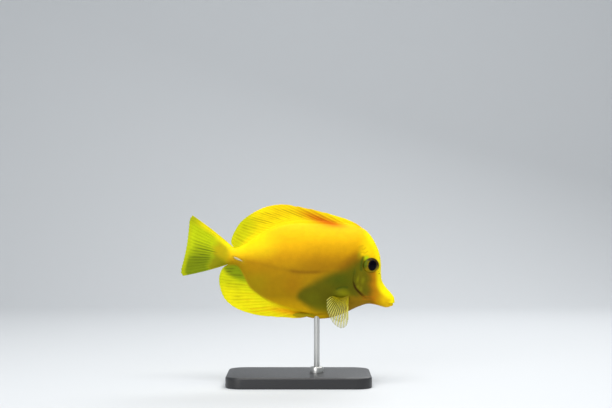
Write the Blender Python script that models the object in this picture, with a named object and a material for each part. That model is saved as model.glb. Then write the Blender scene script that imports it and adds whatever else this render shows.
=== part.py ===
"""Yellow tang, life size, swimming nose-down on a plain display stand.

The fish is modelled in its own frame in millimetres: +X towards the snout, +Z towards
the back, the mid-plane at y = 0 and the right side at negative y. An empty then tips it
nose-down and lifts it over the stand. The stand is modelled where it stands, on z = 0.
"""

import math

import bmesh
import bpy
import numpy as np
from mathutils import Matrix
from mathutils import Vector
from mathutils.bvhtree import BVHTree

MM = 0.001
GAP = 0.3  # clearance between pieces that meet

# How the fish is held
PITCH = math.radians(11)  # nose-down
LIFT = 88.0  # from the floor to the middle of the body
SWING = 4.0  # how far the tail's edge is swept to the left
SWING_FROM = 0.0  # x where the sweep begins
SWING_TO = -83.0  # x where it has its full size

# The body in side view, from the snout to the root of the tail fin
BACK_LINE = (
    (73.3, -14.4), (72.4, -11.8), (69.5, -9.1), (65.3, -5.8), (61.8, -2.0),
    (59.8, 4.0), (58.6, 10.0), (56.3, 16.8), (51.3, 24.5), (45.7, 30.2),
    (40.5, 32.9), (34.0, 33.4), (24.0, 32.1), (8.0, 29.6), (-6.0, 27.2), (-17.0, 23.6),
    (-27.0, 16.8), (-35.0, 9.2), (-42.0, 3.2), (-47.5, 1.0), (-54.0, 3.6), (-61.0, 7.2),
)
BELLY_LINE = (
    (73.3, -14.4), (73.0, -16.5), (71.4, -18.9), (68.5, -20.2), (61.0, -19.8),
    (55.0, -20.1), (47.7, -24.0), (38.0, -31.0), (29.0, -35.7), (18.5, -38.0),
    (5.0, -36.8), (-8.0, -33.6), (-20.0, -29.2), (-29.5, -23.6), (-37.0, -15.8),
    (-42.0, -12.0), (-47.5, -10.7), (-54.5, -12.7), (-61.0, -16.4),
)
# Half the body's thickness at each x of its middle line
HALF_GIRTH = (
    (73.3, 0.0), (73.0, 1.7), (71.9, 2.8), (69.2, 3.5), (63.5, 4.4), (56.3, 6.6),
    (48.0, 8.7), (38.0, 9.9), (24.0, 10.4), (8.0, 9.8), (-10.0, 8.1), (-25.0, 6.2),
    (-38.0, 4.3), (-48.0, 2.9), (-61.0, 1.2),
)
HEAD_POWER, TRUNK_POWER = 1.08, 1.4  # over 1 sharpens the back and the belly, where fins stand
HEAD_FROM, TRUNK_FROM = 46.0, 20.0  # x where each of the two holds in full
SHOULDER = 0.08  # how much fuller the upper half of a section is

# Where the body is parted
GILL_LINE = (
    (43.0, 36.0), (41.6, 31.6), (40.0, 16.4), (40.9, 1.2), (41.3, -5.4), (43.5, -9.7),
    (46.8, -12.5), (51.6, -15.2), (57.0, -18.2), (59.0, -22.0),
)
STEM_LINE = ((-35.0, 20.0), (-37.5, -3.0), (-35.0, -26.0))
TAIL_ROOT_LINE = ((-50.5, 9.0), (-53.4, 4.0), (-56.5, -4.6), (-53.8, -13.0), (-51.0, -18.5))

# The gill cover stands proud of the breast behind it
COVER_RISE = 0.9
COVER_FADE = 8.0  # how far ahead of its edge the rise dies away
COVER_TOP, COVER_FRONT = 2.5, 51.0  # the gill opening's upper and front ends

# The fleshy lobe that carries the pectoral fin
LOBE_AT = (34.6, -16.4)
LOBE_SIZE = (6.2, 4.2)
LOBE_RISE = 1.3

# Eye, nostrils and mouth
EYE_AT = (51.3, 7.5)
EYE_RADIUS = 6.1
EYE_DEPTH = 3.5
EYE_PROUD = 1.5  # how far the eye stands out of the head
EYE_LOOK = math.radians(20)  # towards the snout
PUPIL_RADII = (3.0, 3.75)
PUPIL_THICK = 1.1
NOSTRILS = ((58.4, 2.9, 0.55), (57.5, 4.6, 0.4))
MOUTH_CORNER = (69.3, -17.6)
MOUTH_FRONT = (74.3, -16.5)
MOUTH_SLIT = 0.5
LIP_RISE = 0.45
LIP_OFFSET = 1.3  # from the mouth's line to the crest of each lip

# The white blade that lies in a groove on each side of the tail's stem
SCALPEL_ROOT, SCALPEL_TIP = (-47.35, -5.45), (-39.95, -7.2)
SCALPEL_HIGH, SCALPEL_THICK = 1.5, 1.0
SCALPEL_SUNK = 0.45

# Fins: the edge of each in side view, and which share of it each share of the root reaches
DORSAL_ROOT = (0.356, 0.92)  # from where to where on the back line
DORSAL_EDGE = (
    (40.6, 32.9), (34.8, 35.6), (27.0, 37.3), (14.6, 38.7), (-8.5, 39.6), (-21.6, 38.4),
    (-33.9, 33.2), (-46.6, 21.2), (-50.2, 12.8), (-51.4, 6.0), (-50.4, 3.2), (-48.6, 2.0),
)
DORSAL_REACH = (
    (0.0, 0.0), (0.09, 0.3), (0.2, 0.53), (0.36, 0.66), (0.53, 0.755), (0.75, 0.865),
    (0.89, 0.935), (1.0, 1.0),
)
DORSAL_SPINES, DORSAL_RAYS = 5, 24
ANAL_ROOT = (0.448, 0.92)
ANAL_EDGE = (
    (14.0, -37.4), (8.5, -39.8), (-3.0, -41.6), (-14.4, -43.0), (-25.0, -43.5),
    (-38.7, -41.6), (-47.6, -36.9), (-53.0, -29.0), (-54.9, -21.5), (-53.8, -15.4),
    (-51.3, -12.4), (-49.2, -11.4),
)
ANAL_REACH = (
    (0.0, 0.0), (0.06, 0.16), (0.15, 0.38), (0.27, 0.56), (0.42, 0.7), (0.6, 0.81),
    (0.8, 0.91), (1.0, 1.0),
)
ANAL_SPINES, ANAL_RAYS = 3, 20
CAUDAL_EDGE = (
    (-82.5, 18.5), (-83.9, 16.0), (-83.3, 5.7), (-82.6, -4.3), (-82.7, -14.1),
    (-82.9, -23.9), (-81.0, -26.3),
)
CAUDAL_BOW = 0.7  # how far the tail's outer rays bow outwards
CAUDAL_RAYS = 18
CAUDAL_ROOT = (0.2, 0.8)  # from where to where on the tail's root line
PECTORAL_ROOT = ((39.4, -17.2), (35.2, -19.4), (30.8, -19.6))
PECTORAL_EDGE = (
    (41.9, -32.5), (41.4, -37.0), (38.6, -39.2), (34.2, -38.3), (29.6, -34.6),
    (26.2, -29.6), (24.5, -22.4),
)
PECTORAL_OUT = ((0.0, 16.0), (0.3, 18.5), (0.7, 14.5), (1.0, 9.0))  # reach off the flank
PECTORAL_RAYS = 15
PELVIC_ROOT = ((34.6, -32.7), (31.4, -33.0))
PELVIC_EDGE = ((6.5, -39.0), (2.6, -38.4), (5.0, -36.6), (9.5, -35.8))
PELVIC_SPREAD = 3.5  # from the mid-plane to the middle of each folded fin
PELVIC_RAYS = 6

# Fin thickness, as halves
WEB_HALF = 0.27
RAY_HALF = 0.52
SPINE_HALF = 0.72
ROOT_HALF = 0.95
ROOT_BURIED = 2.0  # how far a fin runs into the body before it is cut clear
TIP_SHARE = 0.6  # thickness at a ray's tip, of that at its root
RAY_WIDTH_SHARE = 0.42  # of the distance from one ray to the next
WEB_SHORT = 0.985  # the web ends this share of the way along its rays

# Stand
BASE_LENGTH, BASE_WIDTH, BASE_HIGH = 104.0, 70.0, 8.0
BASE_CORNER, BASE_BEVEL = 12.0, 1.2
ROD_AT = 20.5  # x on the fish, where the rod meets the belly
ROD_AHEAD = 13.0  # how far the rod stands ahead of the base's middle
ROD_RADIUS = 2.1
COLLAR_RADIUS, COLLAR_HIGH = 5.0, 4.0

# How finely the body is divided
BODY_RINGS, BODY_ARC = 55, 18
RING_POWER = 1.45  # over 1 sets the rings closer towards the snout

YELLOW = (0.95, 0.72, 0.02)
FIN_YELLOW = (0.88, 0.80, 0.03)
IRIS_GOLD = (0.72, 0.52, 0.05)


def material(name, colour, roughness, metallic=0.0):
    """A Principled material of one colour."""
    made = bpy.data.materials.new(name)
    made.use_nodes = True
    made.diffuse_color = (*colour, 1)
    shader = made.node_tree.nodes["Principled BSDF"]
    shader.inputs["Base Color"].default_value = (*colour, 1)
    shader.inputs["Roughness"].default_value = roughness
    shader.inputs["Metallic"].default_value = metallic
    return made


def dense_line(points, steps=14):
    """Points close together on a smooth line through the given ones (centripetal Catmull-Rom)."""
    p = np.array(points, float)
    p = np.vstack([2 * p[0] - p[1], p, 2 * p[-1] - p[-2]])
    made = []
    for a, b, c, d in zip(p, p[1:], p[2:], p[3:]):
        ta = 0.0
        tb = ta + np.linalg.norm(b - a) ** 0.5
        tc = tb + np.linalg.norm(c - b) ** 0.5
        td = tc + np.linalg.norm(d - c) ** 0.5
        t = np.linspace(tb, tc, steps, endpoint=False)[:, None]
        ab = ((tb - t) * a + (t - ta) * b) / (tb - ta)
        bc = ((tc - t) * b + (t - tb) * c) / (tc - tb)
        cd = ((td - t) * c + (t - tc) * d) / (td - tc)
        abc = ((tc - t) * ab + (t - ta) * bc) / (tc - ta)
        bcd = ((td - t) * bc + (t - tb) * cd) / (td - tb)
        made.append(((tc - t) * abc + (t - tb) * bcd) / (tc - tb))
    return np.vstack([*made, p[-2:-1]])


def along(points, shares):
    """Points at the given shares of the length of the smooth line through the given ones."""
    line = dense_line(points)
    lengths = np.concatenate([[0], np.cumsum(np.linalg.norm(np.diff(line, axis=0), axis=1))])
    shares = np.asarray(shares, float) * lengths[-1]
    return np.stack([np.interp(shares, lengths, line[:, k]) for k in range(line.shape[1])], -1)


def level(points, x):
    """The smooth line's second number at x, for points whose first number only rises or falls."""
    line = dense_line(points)
    line = line[np.argsort(line[:, 0])]
    return np.interp(x, line[:, 0], line[:, 1])


def fade(t):
    """1 at t = 0, falling smoothly to 0 at t = 1."""
    t = np.clip(t, 0.0, 1.0)
    return 1 - t * t * (3 - 2 * t)


def swing(x):
    """How far the fish's middle is swept to the left at x."""
    t = np.clip((SWING_FROM - np.asarray(x, float)) / (SWING_FROM - SWING_TO), 0.0, None)
    return SWING * t * t


def cover_relief(x, z):
    """Rise of the gill cover towards its edge, and of the lips round the mouth."""
    edge = dense_line(GILL_LINE)
    edge_x = np.interp(-z, -edge[:, 1], edge[:, 0])
    ahead = (x - edge_x) / COVER_FADE
    span = fade((z - COVER_TOP) / 4.0) * fade((x - COVER_FRONT) / 6.0)
    rise = COVER_RISE * fade(ahead) * span
    return rise + lip_relief(x, z)


def lip_relief(x, z):
    """A soft roll on each side of the mouth's line."""
    (x0, z0), (x1, z1) = MOUTH_CORNER, MOUTH_FRONT
    off = np.abs(z - (z0 + (x - x0) * (z1 - z0) / (x1 - x0)))
    roll = np.exp(-(((off - LIP_OFFSET) / 0.8) ** 2))
    return LIP_RISE * roll * fade((x0 - x) / 1.6)


def lobe_relief(x, z):
    """The swelling at the pectoral fin's root."""
    away = np.hypot((x - LOBE_AT[0]) / LOBE_SIZE[0], (z - LOBE_AT[1]) / LOBE_SIZE[1])
    return LOBE_RISE * fade(away)


def no_relief(x, z):
    return np.zeros_like(x)


def edge_power(x):
    return TRUNK_POWER + (HEAD_POWER - TRUNK_POWER) * fade((HEAD_FROM - x) / (HEAD_FROM - TRUNK_FROM))


def body_shape(relief, grow=0.0):
    """Points and faces of the body. relief(x, z) and grow move each point along its normal."""
    shares = (np.arange(BODY_RINGS + 1) / BODY_RINGS) ** RING_POWER
    back, belly = along(BACK_LINE, shares), along(BELLY_LINE, shares)
    middle_x = (back[:, 0] + belly[:, 0]) / 2
    half = level(HALF_GIRTH, middle_x)
    turn = np.linspace(0, 2 * math.pi, 2 * BODY_ARC, endpoint=False)
    up = (1 + np.cos(turn)) / 2
    flat = belly[:, None] + (back - belly)[:, None] * up[None, :, None]
    out = np.abs(np.sin(turn)) ** edge_power(middle_x)[:, None] * (1 + SHOULDER * np.cos(turn))
    y = -half[:, None] * out * np.sign(np.sin(turn))
    rings = np.stack([flat[..., 0], y, flat[..., 1]], -1)[1:]
    tip = np.array([[BACK_LINE[0][0], 0.0, BACK_LINE[0][1]]])
    end = rings[-1].mean(0)[None]
    points = np.vstack([tip, rings.reshape(-1, 3), end])
    size = 2 * BODY_ARC
    last = len(points) - 1
    faces = []
    for k in range(size):
        n = (k + 1) % size
        faces.append((0, 1 + k, 1 + n))
        faces.append((last, last - size + n, last - size + k))
        for r in range(BODY_RINGS - 1):
            a = 1 + r * size
            faces.append((a + k, a + size + k, a + size + n, a + n))
    mesh = bpy.data.meshes.new("shape")
    mesh.from_pydata(points.tolist(), [], faces)
    mesh.update()
    normals = np.array([n.vector for n in mesh.vertex_normals])
    bpy.data.meshes.remove(mesh)
    centre = points.mean(0)
    if ((points - centre) * normals).sum() < 0:
        faces = [face[::-1] for face in faces]
        normals = -normals
    points += normals * (relief(points[:, 0], points[:, 2]) + grow)[:, None]
    return points, faces


def flank_finder():
    """A function that gives the body's half thickness at (x, z)."""
    points, faces = body_shape(lobe_relief)
    tree = BVHTree.FromPolygons(points.tolist(), faces)

    def flank(x, z):
        hit = tree.ray_cast(Vector((x, -60, z)), Vector((0, 1, 0)))[0]
        return -hit.y if hit and hit.y < 0 else 0.0

    return flank


def add_mesh(name, points, faces, parent, look=None, swept=True):
    """An object from points in millimetres, swept with the tail and carried by the parent."""
    points = np.array(points, float)
    if swept:
        points[:, 1] += swing(points[:, 0])
    mesh = bpy.data.meshes.new(name)
    mesh.from_pydata((points * MM).tolist(), [], [tuple(map(int, f)) for f in faces])
    mesh.update()
    shaded = bmesh.new()
    shaded.from_mesh(mesh)
    bmesh.ops.recalc_face_normals(shaded, faces=shaded.faces)
    shaded.to_mesh(mesh)
    shaded.free()
    made = bpy.data.objects.new(name, mesh)
    bpy.context.scene.collection.objects.link(made)
    made.parent = parent
    if look:
        mesh.materials.append(look)
        mesh.shade_smooth()
        mesh.set_sharp_from_angle(angle=math.radians(35))
    return made


def as_cutter(made):
    made.hide_render = True
    made.display_type = "WIRE"
    return made


def combine(made, cutter, operation="DIFFERENCE", solver="EXACT"):
    modifier = made.modifiers.new(cutter.name, "BOOLEAN")
    modifier.operation = operation
    modifier.solver = solver
    modifier.object = cutter


def settle(made):
    """Applies the modifiers and keeps the largest closed surface."""
    bpy.context.view_layer.update()
    graph = bpy.context.evaluated_depsgraph_get()
    mesh = bpy.data.meshes.new_from_object(made.evaluated_get(graph))
    made.modifiers.clear()
    made.data = mesh
    work = bmesh.new()
    work.from_mesh(mesh)
    left = set(work.verts)
    shells = []
    while left:
        shell, edge = set(), [left.pop()]
        while edge:
            v = edge.pop()
            shell.add(v)
            near = {e.other_vert(v) for e in v.link_edges} & left
            left -= near
            edge.extend(near)
        shells.append(shell)
    shells.sort(key=len)
    loose = [v for shell in shells[:-1] for v in shell]
    bmesh.ops.delete(work, geom=loose, context="VERTS")
    work.to_mesh(mesh)
    work.free()


def slab(name, outline, parent):
    """A cutter: an outline in side view, drawn out through the whole body."""
    n = len(outline)
    reach = 40.0
    points = [(x, y, z) for y in (-reach, reach) for x, z in outline]
    faces = [tuple(range(n)), tuple(reversed(range(n, 2 * n)))]
    faces += [(k, (k + 1) % n, n + (k + 1) % n, n + k) for k in range(n)]
    return as_cutter(add_mesh(name, points, faces, parent, swept=False))


def shifted(line, by):
    """A line in side view moved sideways by a distance, towards the tail for a line drawn downwards."""
    slope = np.gradient(line, axis=0)
    slope /= np.linalg.norm(slope, axis=1)[:, None]
    return line + by * np.stack([slope[:, 1], -slope[:, 0]], -1)


def ellipsoid(name, centre, radii, parent, look=None, turn=0.0, segments=20, rings=12):
    """An ellipsoid. turn swings its outer side about the vertical, towards the snout."""
    work = bmesh.new()
    bmesh.ops.create_uvsphere(work, u_segments=segments, v_segments=rings, radius=1.0)
    side = math.copysign(1.0, centre[1])
    place = (
        Matrix.Translation(centre)
        @ Matrix.Rotation(-side * turn, 4, "Z")
        @ Matrix.Diagonal((*radii, 1.0))
        @ Matrix.Rotation(math.pi / 2, 4, "X")
    )
    bmesh.ops.transform(work, matrix=place, verts=work.verts)
    points = [tuple(v.co) for v in work.verts]
    faces = [tuple(v.index for v in f.verts) for f in work.faces]
    work.free()
    return add_mesh(name, points, faces, parent, look)


def body_nodes(fish, skin):
    """Head, trunk and tail stem: one body, parted by thin cuts."""
    gill = along(GILL_LINE, np.linspace(0, 1, 26))
    stem = along(STEM_LINE, np.linspace(0, 1, 9))
    root = along(TAIL_ROOT_LINE, np.linspace(0, 1, 13))
    ahead, high, low = 90.0, 60.0, -60.0
    regions = {
        "head": [(ahead, high), (gill[0][0], high), *gill, (gill[-1][0], low), (ahead, low)],
        "trunk": [
            (gill[0][0], high), *shifted(gill, GAP), (gill[-1][0], low),
            (stem[-1][0], low), *stem[::-1], (stem[0][0], high),
        ],
        "tail_stem": [
            (stem[0][0], high), *shifted(stem, GAP), (stem[-1][0], low),
            (root[-1][0], low), *root[::-1], (root[0][0], high),
        ],
    }
    reliefs = {"head": cover_relief, "trunk": lobe_relief, "tail_stem": no_relief}
    made = {}
    for name, outline in regions.items():
        made[name] = add_mesh(name, *body_shape(reliefs[name]), fish, skin)
        combine(made[name], slab(name + "_region", outline, fish), "INTERSECT")
    return made


def eye_parts(head, fish, flank, side, word, gold, black):
    """The eyeball in its socket, and the pupil set into it."""
    x, z = EYE_AT
    deep = flank(x, z) + EYE_PROUD - EYE_DEPTH
    centre = (x, side * deep, z)
    radii = (EYE_RADIUS, EYE_DEPTH, EYE_RADIUS)
    wide = tuple(r + GAP for r in radii)
    socket = as_cutter(ellipsoid("socket_" + word, centre, wide, fish, turn=EYE_LOOK))
    combine(head, socket)
    eye = ellipsoid("eye_" + word, centre, radii, fish, gold, EYE_LOOK)
    ahead = EYE_DEPTH - PUPIL_THICK / 3
    spot = (x + ahead * math.sin(EYE_LOOK), side * (deep + ahead * math.cos(EYE_LOOK)), z)
    lens = (PUPIL_RADII[0], PUPIL_THICK, PUPIL_RADII[1])
    seat = tuple(r + GAP for r in lens)
    combine(eye, as_cutter(ellipsoid("pupil_seat_" + word, spot, seat, fish, turn=EYE_LOOK)))
    ellipsoid("pupil_" + word, spot, lens, fish, black, EYE_LOOK, segments=16, rings=8)
    settle(eye)


def cut_nostrils(head, fish, flank):
    for side, word in ((-1, "right"), (1, "left")):
        for k, (x, z, radius) in enumerate(NOSTRILS):
            centre = (x, side * flank(x, z), z)
            pit = ellipsoid(
                f"nostril_{word}_{k}", centre, (radius, 1.2, radius), fish, segments=10, rings=6
            )
            combine(head, as_cutter(pit))


def cut_mouth(head, fish):
    """A slit from side to side, wide open at the lips and closing to the corners."""
    (x0, z0), (x1, z1) = MOUTH_CORNER, MOUTH_FRONT
    reach = 8.0
    open_half = MOUTH_SLIT / 2
    corner, front_up, front_down = (x0, z0), (x1, z1 + open_half), (x1, z1 - open_half)
    outline = (corner, front_up, front_down)
    points = [(x, y, z) for y in (-reach, reach) for x, z in outline]
    faces = [(0, 1, 2), (5, 4, 3), (0, 3, 4, 1), (1, 4, 5, 2), (2, 5, 3, 0)]
    combine(head, as_cutter(add_mesh("mouth_slit", points, faces, fish)))


def scalpel_shape(grow, side, flank):
    """A flat lancet along the stem's groove: pointed ahead, rounded at its root behind."""
    root, tip = np.array(SCALPEL_ROOT), np.array(SCALPEL_TIP)
    shares = np.linspace(0, 1, 9)
    high = SCALPEL_HIGH * np.sin(math.pi * shares**0.7) ** 0.8
    thick = SCALPEL_THICK * np.sin(math.pi * shares**0.7) ** 0.8
    axis = (tip - root) / np.linalg.norm(tip - root)
    turn = np.linspace(0, 2 * math.pi, 8, endpoint=False)
    points = []
    for k, share in enumerate(shares):
        x, z = root + (tip - root) * share + axis * grow * (2 * share - 1)
        middle = side * (flank(*(root + (tip - root) * share)) + SCALPEL_THICK / 2 - SCALPEL_SUNK)
        half_high, half_thick = high[k] / 2 + grow, thick[k] / 2 + grow
        if k in (0, len(shares) - 1):
            points.append((x, middle, z))
            continue
        points += [
            (
                x - axis[1] * half_high * math.cos(a),
                middle + half_thick * math.sin(a),
                z + axis[0] * half_high * math.cos(a),
            )
            for a in turn
        ]
    size, last = len(turn), len(points) - 1
    faces = []
    for k in range(size):
        n = (k + 1) % size
        faces += [(0, 1 + n, 1 + k), (last, last - size + k, last - size + n)]
        for r in range(len(shares) - 3):
            a = 1 + r * size
            faces.append((a + k, a + n, a + size + n, a + size + k))
    return points, faces


def scalpels(stem, fish, flank, white):
    for side, word in ((-1, "right"), (1, "left")):
        groove = add_mesh("groove_" + word, *scalpel_shape(GAP, side, flank), fish)
        combine(stem, as_cutter(groove), solver="MANIFOLD")
        add_mesh("scalpel_" + word, *scalpel_shape(0.0, side, flank), fish, white)


def ray_columns(rays, spines=0):
    """For each column of a fin: its place from 0 to 1 across the rays, and how much of a ridge it is."""
    places, ridges = [], []
    for k in range(rays):
        crest = SPINE_HALF if k < spines else RAY_HALF
        half_width = RAY_WIDTH_SHARE / 2
        for offset, ridge in ((-half_width, WEB_HALF), (0.0, crest), (half_width, WEB_HALF)):
            at = (k + offset) / (rays - 1)
            if 0.0 <= at <= 1.0:
                places.append(at)
                ridges.append(ridge)
    return np.array(places), np.array(ridges)


def fin_shape(roots, tips, ridges, out, rows, bulge=None, root_half=ROOT_HALF):
    """A plate whose rays stand up as ridges on both faces, split into the same triangles on both.

    roots and tips are the ends of each column, and out the direction that the plate is thick in.
    """
    shares = np.linspace(0, 1, rows + 1) ** 1.25
    crest = ridges > WEB_HALF + 1e-6
    ends = np.where(crest, 1.0, WEB_SHORT)
    middle = roots[:, None] + (tips - roots)[:, None] * (shares[None, :, None] * ends[:, None, None])
    if bulge is not None:
        middle = middle + bulge(shares)
    taper = 1 - (1 - TIP_SHARE) * shares
    half = ridges[:, None] * taper[None]
    sheath = root_half * fade(shares / 0.35)
    half = np.maximum(half, np.maximum(sheath[None], 0.0))
    near = (middle - out * half[..., None]).reshape(-1, 3)
    far = (middle + out * half[..., None]).reshape(-1, 3)
    wide, high = len(roots), rows + 1
    faces, back = [], wide * high
    for i in range(wide - 1):
        for j in range(high - 1):
            a, b = i * high + j, (i + 1) * high + j
            faces += [(a, b, b + 1), (a, b + 1, a + 1)]
            faces += [(back + a, back + b + 1, back + b), (back + a, back + a + 1, back + b + 1)]
    rim = [i * high for i in range(wide)]
    rim += [(wide - 1) * high + j for j in range(1, high)]
    rim += [i * high + high - 1 for i in range(wide - 2, -1, -1)]
    rim += [j for j in range(high - 2, 0, -1)]
    for a, b in zip(rim, rim[1:] + rim[:1]):
        faces += [(a, back + a, back + b), (a, back + b, b)]
    return np.vstack([near, far]), faces


def flat_fin(name, root_line, edge, reach, columns, fish, look, wave):
    """A fin that stands on the mid-plane, on the back or the belly line."""
    places, ridges = columns
    roots2, tips2 = along(root_line, places), along(edge, level(reach, places))
    inward = roots2 - tips2
    inward /= np.linalg.norm(inward, axis=1)[:, None]
    # A root runs into the body across the line it stands on, however far its ray lies back.
    slope = np.gradient(roots2, axis=0)
    across = np.stack([slope[:, 1], -slope[:, 0]], -1)
    across /= np.linalg.norm(across, axis=1)[:, None]
    across *= np.sign((across * inward).sum())
    roots2 = roots2 + across * ROOT_BURIED
    roots = np.stack([roots2[:, 0], np.zeros(len(places)), roots2[:, 1]], -1)
    sway = wave * np.sin(places * math.pi * 3.0)
    tips = np.stack([tips2[:, 0], sway, tips2[:, 1]], -1)
    out = np.array([0.0, 1.0, 0.0])
    points, faces = fin_shape(roots, tips, ridges, out, 6)
    return add_mesh(name, points, faces, fish, look)


def part_of_line(points, span, count=40):
    """The stretch of a smooth line between two shares of its length, as a line of its own."""
    return along(points, np.linspace(span[0], span[1], count))


def caudal_fin(fish, look):
    places, ridges = ray_columns(CAUDAL_RAYS)
    roots2 = along(TAIL_ROOT_LINE, CAUDAL_ROOT[0] + places * (CAUDAL_ROOT[1] - CAUDAL_ROOT[0]))
    tips2 = along(CAUDAL_EDGE, places)
    back = shifted(roots2, GAP)
    roots = np.stack([back[:, 0], np.zeros(len(places)), back[:, 1]], -1)
    tips = np.stack([tips2[:, 0], 0.8 * np.sin(places * math.pi * 2), tips2[:, 1]], -1)
    out = np.array([0.0, 1.0, 0.0])
    root_half = level(HALF_GIRTH, TAIL_ROOT_LINE[2][0])

    def bow(shares):
        rise = (1 - 2 * places)[:, None] * CAUDAL_BOW * np.sin(math.pi * shares)[None]
        return np.stack([0 * rise, 0 * rise, rise], -1)

    points, faces = fin_shape(roots, tips, ridges, out, 7, bow, root_half)
    return add_mesh("caudal_fin", points, faces, fish, look)


def pectoral_fin(fish, look, flank, side, word):
    """A fan of rays swung down and out from the lobe behind the gill cover."""
    places, ridges = ray_columns(PECTORAL_RAYS)
    roots2, tips2 = along(PECTORAL_ROOT, places), along(PECTORAL_EDGE, places)
    inside = roots2 + (roots2 - tips2) * 0.05
    root_y = np.array([flank(*p) for p in roots2]) - 1.2
    tip_y = np.array([flank(*p) for p in roots2]) + level(PECTORAL_OUT, places)
    roots = np.stack([inside[:, 0], side * root_y, inside[:, 1]], -1)
    tips = np.stack([tips2[:, 0], side * tip_y, tips2[:, 1]], -1)
    middle = len(places) // 2
    out = np.cross(tips[middle] - roots[middle], roots[-1] - roots[0])
    out /= np.linalg.norm(out)

    def cup(shares):
        """The blade bows outwards between its root and its edge."""
        bow = 1.6 * np.sin(math.pi * np.clip(shares, 0, 1))
        return (out * -side * np.sign(out[1]) * -1)[None, None] * bow[None, :, None]

    points, faces = fin_shape(roots, tips, ridges, out, 5, cup, root_half=0.8)
    return add_mesh("pectoral_fin_" + word, points, faces, fish, look)


def pelvic_fin(fish, look, flank, side, word):
    """A folded fin laid back along the belly, its spine below."""
    places, ridges = ray_columns(PELVIC_RAYS, spines=1)
    roots2, tips2 = along(PELVIC_ROOT, places), along(PELVIC_EDGE, places)
    root_y = np.array([flank(*p) for p in roots2])
    roots = np.stack([roots2[:, 0], side * root_y, roots2[:, 1]], -1)
    tip_y = np.full(len(places), side * PELVIC_SPREAD)
    tips = np.stack([tips2[:, 0], tip_y, tips2[:, 1]], -1)
    out = np.array([0.0, 1.0, 0.0])
    points, faces = fin_shape(roots, tips, ridges, out, 5, root_half=0.7)
    return add_mesh("pelvic_fin_" + word, points, faces, fish, look)


def fin_nodes(fish, flank, look, clear_of_body):
    """All seven fins, each cut clear of the body it stands on."""
    back = part_of_line(BACK_LINE, DORSAL_ROOT)
    belly = part_of_line(BELLY_LINE, ANAL_ROOT)
    dorsal_columns = ray_columns(DORSAL_SPINES + DORSAL_RAYS, DORSAL_SPINES)
    anal_columns = ray_columns(ANAL_SPINES + ANAL_RAYS, ANAL_SPINES)
    fins = [
        flat_fin("dorsal_fin", back, DORSAL_EDGE, DORSAL_REACH, dorsal_columns, fish, look, 0.5),
        flat_fin("anal_fin", belly, ANAL_EDGE, ANAL_REACH, anal_columns, fish, look, -0.5),
    ]
    for side, word in ((-1, "right"), (1, "left")):
        fins.append(pectoral_fin(fish, look, flank, side, word))
        fins.append(pelvic_fin(fish, look, flank, side, word))
    for fin in fins:
        combine(fin, clear_of_body, solver="MANIFOLD")
        settle(fin)
    caudal_fin(fish, look)


def turned(name, profile, at, parent, look, segments=28):
    """A round piece turned about a vertical axis, from (radius, height) points, bottom to top."""
    points = []
    for radius, high in profile:
        for k in range(segments):
            a = 2 * math.pi * k / segments
            points.append((at[0] + radius * math.cos(a), at[1] + radius * math.sin(a), high))
    rows = len(profile)
    faces = [tuple(range(segments)), tuple(range((rows - 1) * segments, rows * segments))]
    for r in range(rows - 1):
        for k in range(segments):
            n = (k + 1) % segments
            a = r * segments
            faces.append((a + k, a + n, a + segments + n, a + segments + k))
    return add_mesh(name, points, faces, parent, look, swept=False)


def rounded_outline(length, width, corner, steps=6):
    points = []
    for cx, cy, start in ((1, 1, 0), (-1, 1, 90), (-1, -1, 180), (1, -1, 270)):
        for k in range(steps + 1):
            a = math.radians(start + 90 * k / steps)
            x = cx * (length / 2 - corner) + corner * math.cos(a)
            y = cy * (width / 2 - corner) + corner * math.sin(a)
            points.append((x, y))
    return points


def stand_base(at, stand, look):
    outline = rounded_outline(BASE_LENGTH, BASE_WIDTH, BASE_CORNER)
    n = len(outline)
    points = [(at + x, y, z) for z in (0.0, BASE_HIGH) for x, y in outline]
    faces = [tuple(range(n)), tuple(range(n, 2 * n))]
    faces += [(k, (k + 1) % n, n + (k + 1) % n, n + k) for k in range(n)]
    base = add_mesh("stand_base", points, faces, stand, look, swept=False)
    bevel = base.modifiers.new("edge", "BEVEL")
    bevel.width = BASE_BEVEL * MM
    bevel.segments = 2
    bevel.limit_method = "ANGLE"


def stand_nodes(stand, at, base_at, belly_high, clear_of_body, black, steel):
    """A flat base, a collar and one rod that ends against the belly's keel."""
    stand_base(base_at, stand, black)
    low = BASE_HIGH + GAP
    high = low + COLLAR_HIGH
    bore = ROD_RADIUS + GAP
    collar = turned(
        "stand_collar",
        ((bore, low), (COLLAR_RADIUS, low), (COLLAR_RADIUS, high - 0.8), (bore + 1.2, high), (bore, high)),
        (at, 0), stand, steel,
    )
    work = bmesh.new()
    work.from_mesh(collar.data)
    caps = [f for f in work.faces if len(f.verts) > 4]
    bmesh.ops.delete(work, geom=caps, context="FACES_ONLY")
    rims = [e for e in work.edges if e.is_boundary]
    bmesh.ops.bridge_loops(work, edges=rims)
    bmesh.ops.recalc_face_normals(work, faces=work.faces)
    work.to_mesh(collar.data)
    work.free()
    top = belly_high + 6.0
    rod = turned("stand_rod", ((ROD_RADIUS, low), (ROD_RADIUS, top)), (at, 0), stand, steel)
    combine(rod, clear_of_body)
    settle(rod)


def to_world(x, z):
    """Where a point of the fish's mid-plane stands, in millimetres, before the last shift."""
    return (
        x * math.cos(PITCH) + z * math.sin(PITCH),
        z * math.cos(PITCH) - x * math.sin(PITCH) + LIFT,
    )


def centre_on_origin(carriers):
    """Shifts the carriers so that the whole model's box is centred on x = 0."""
    bpy.context.view_layer.update()
    corners = [
        (o.matrix_world @ Vector(c)).x
        for o in bpy.context.scene.objects
        if o.type == "MESH" and not o.hide_render
        for c in ((v.co) for v in o.data.vertices)
    ]
    middle = (min(corners) + max(corners)) / 2
    for carrier in carriers:
        carrier.location.x -= middle


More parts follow.
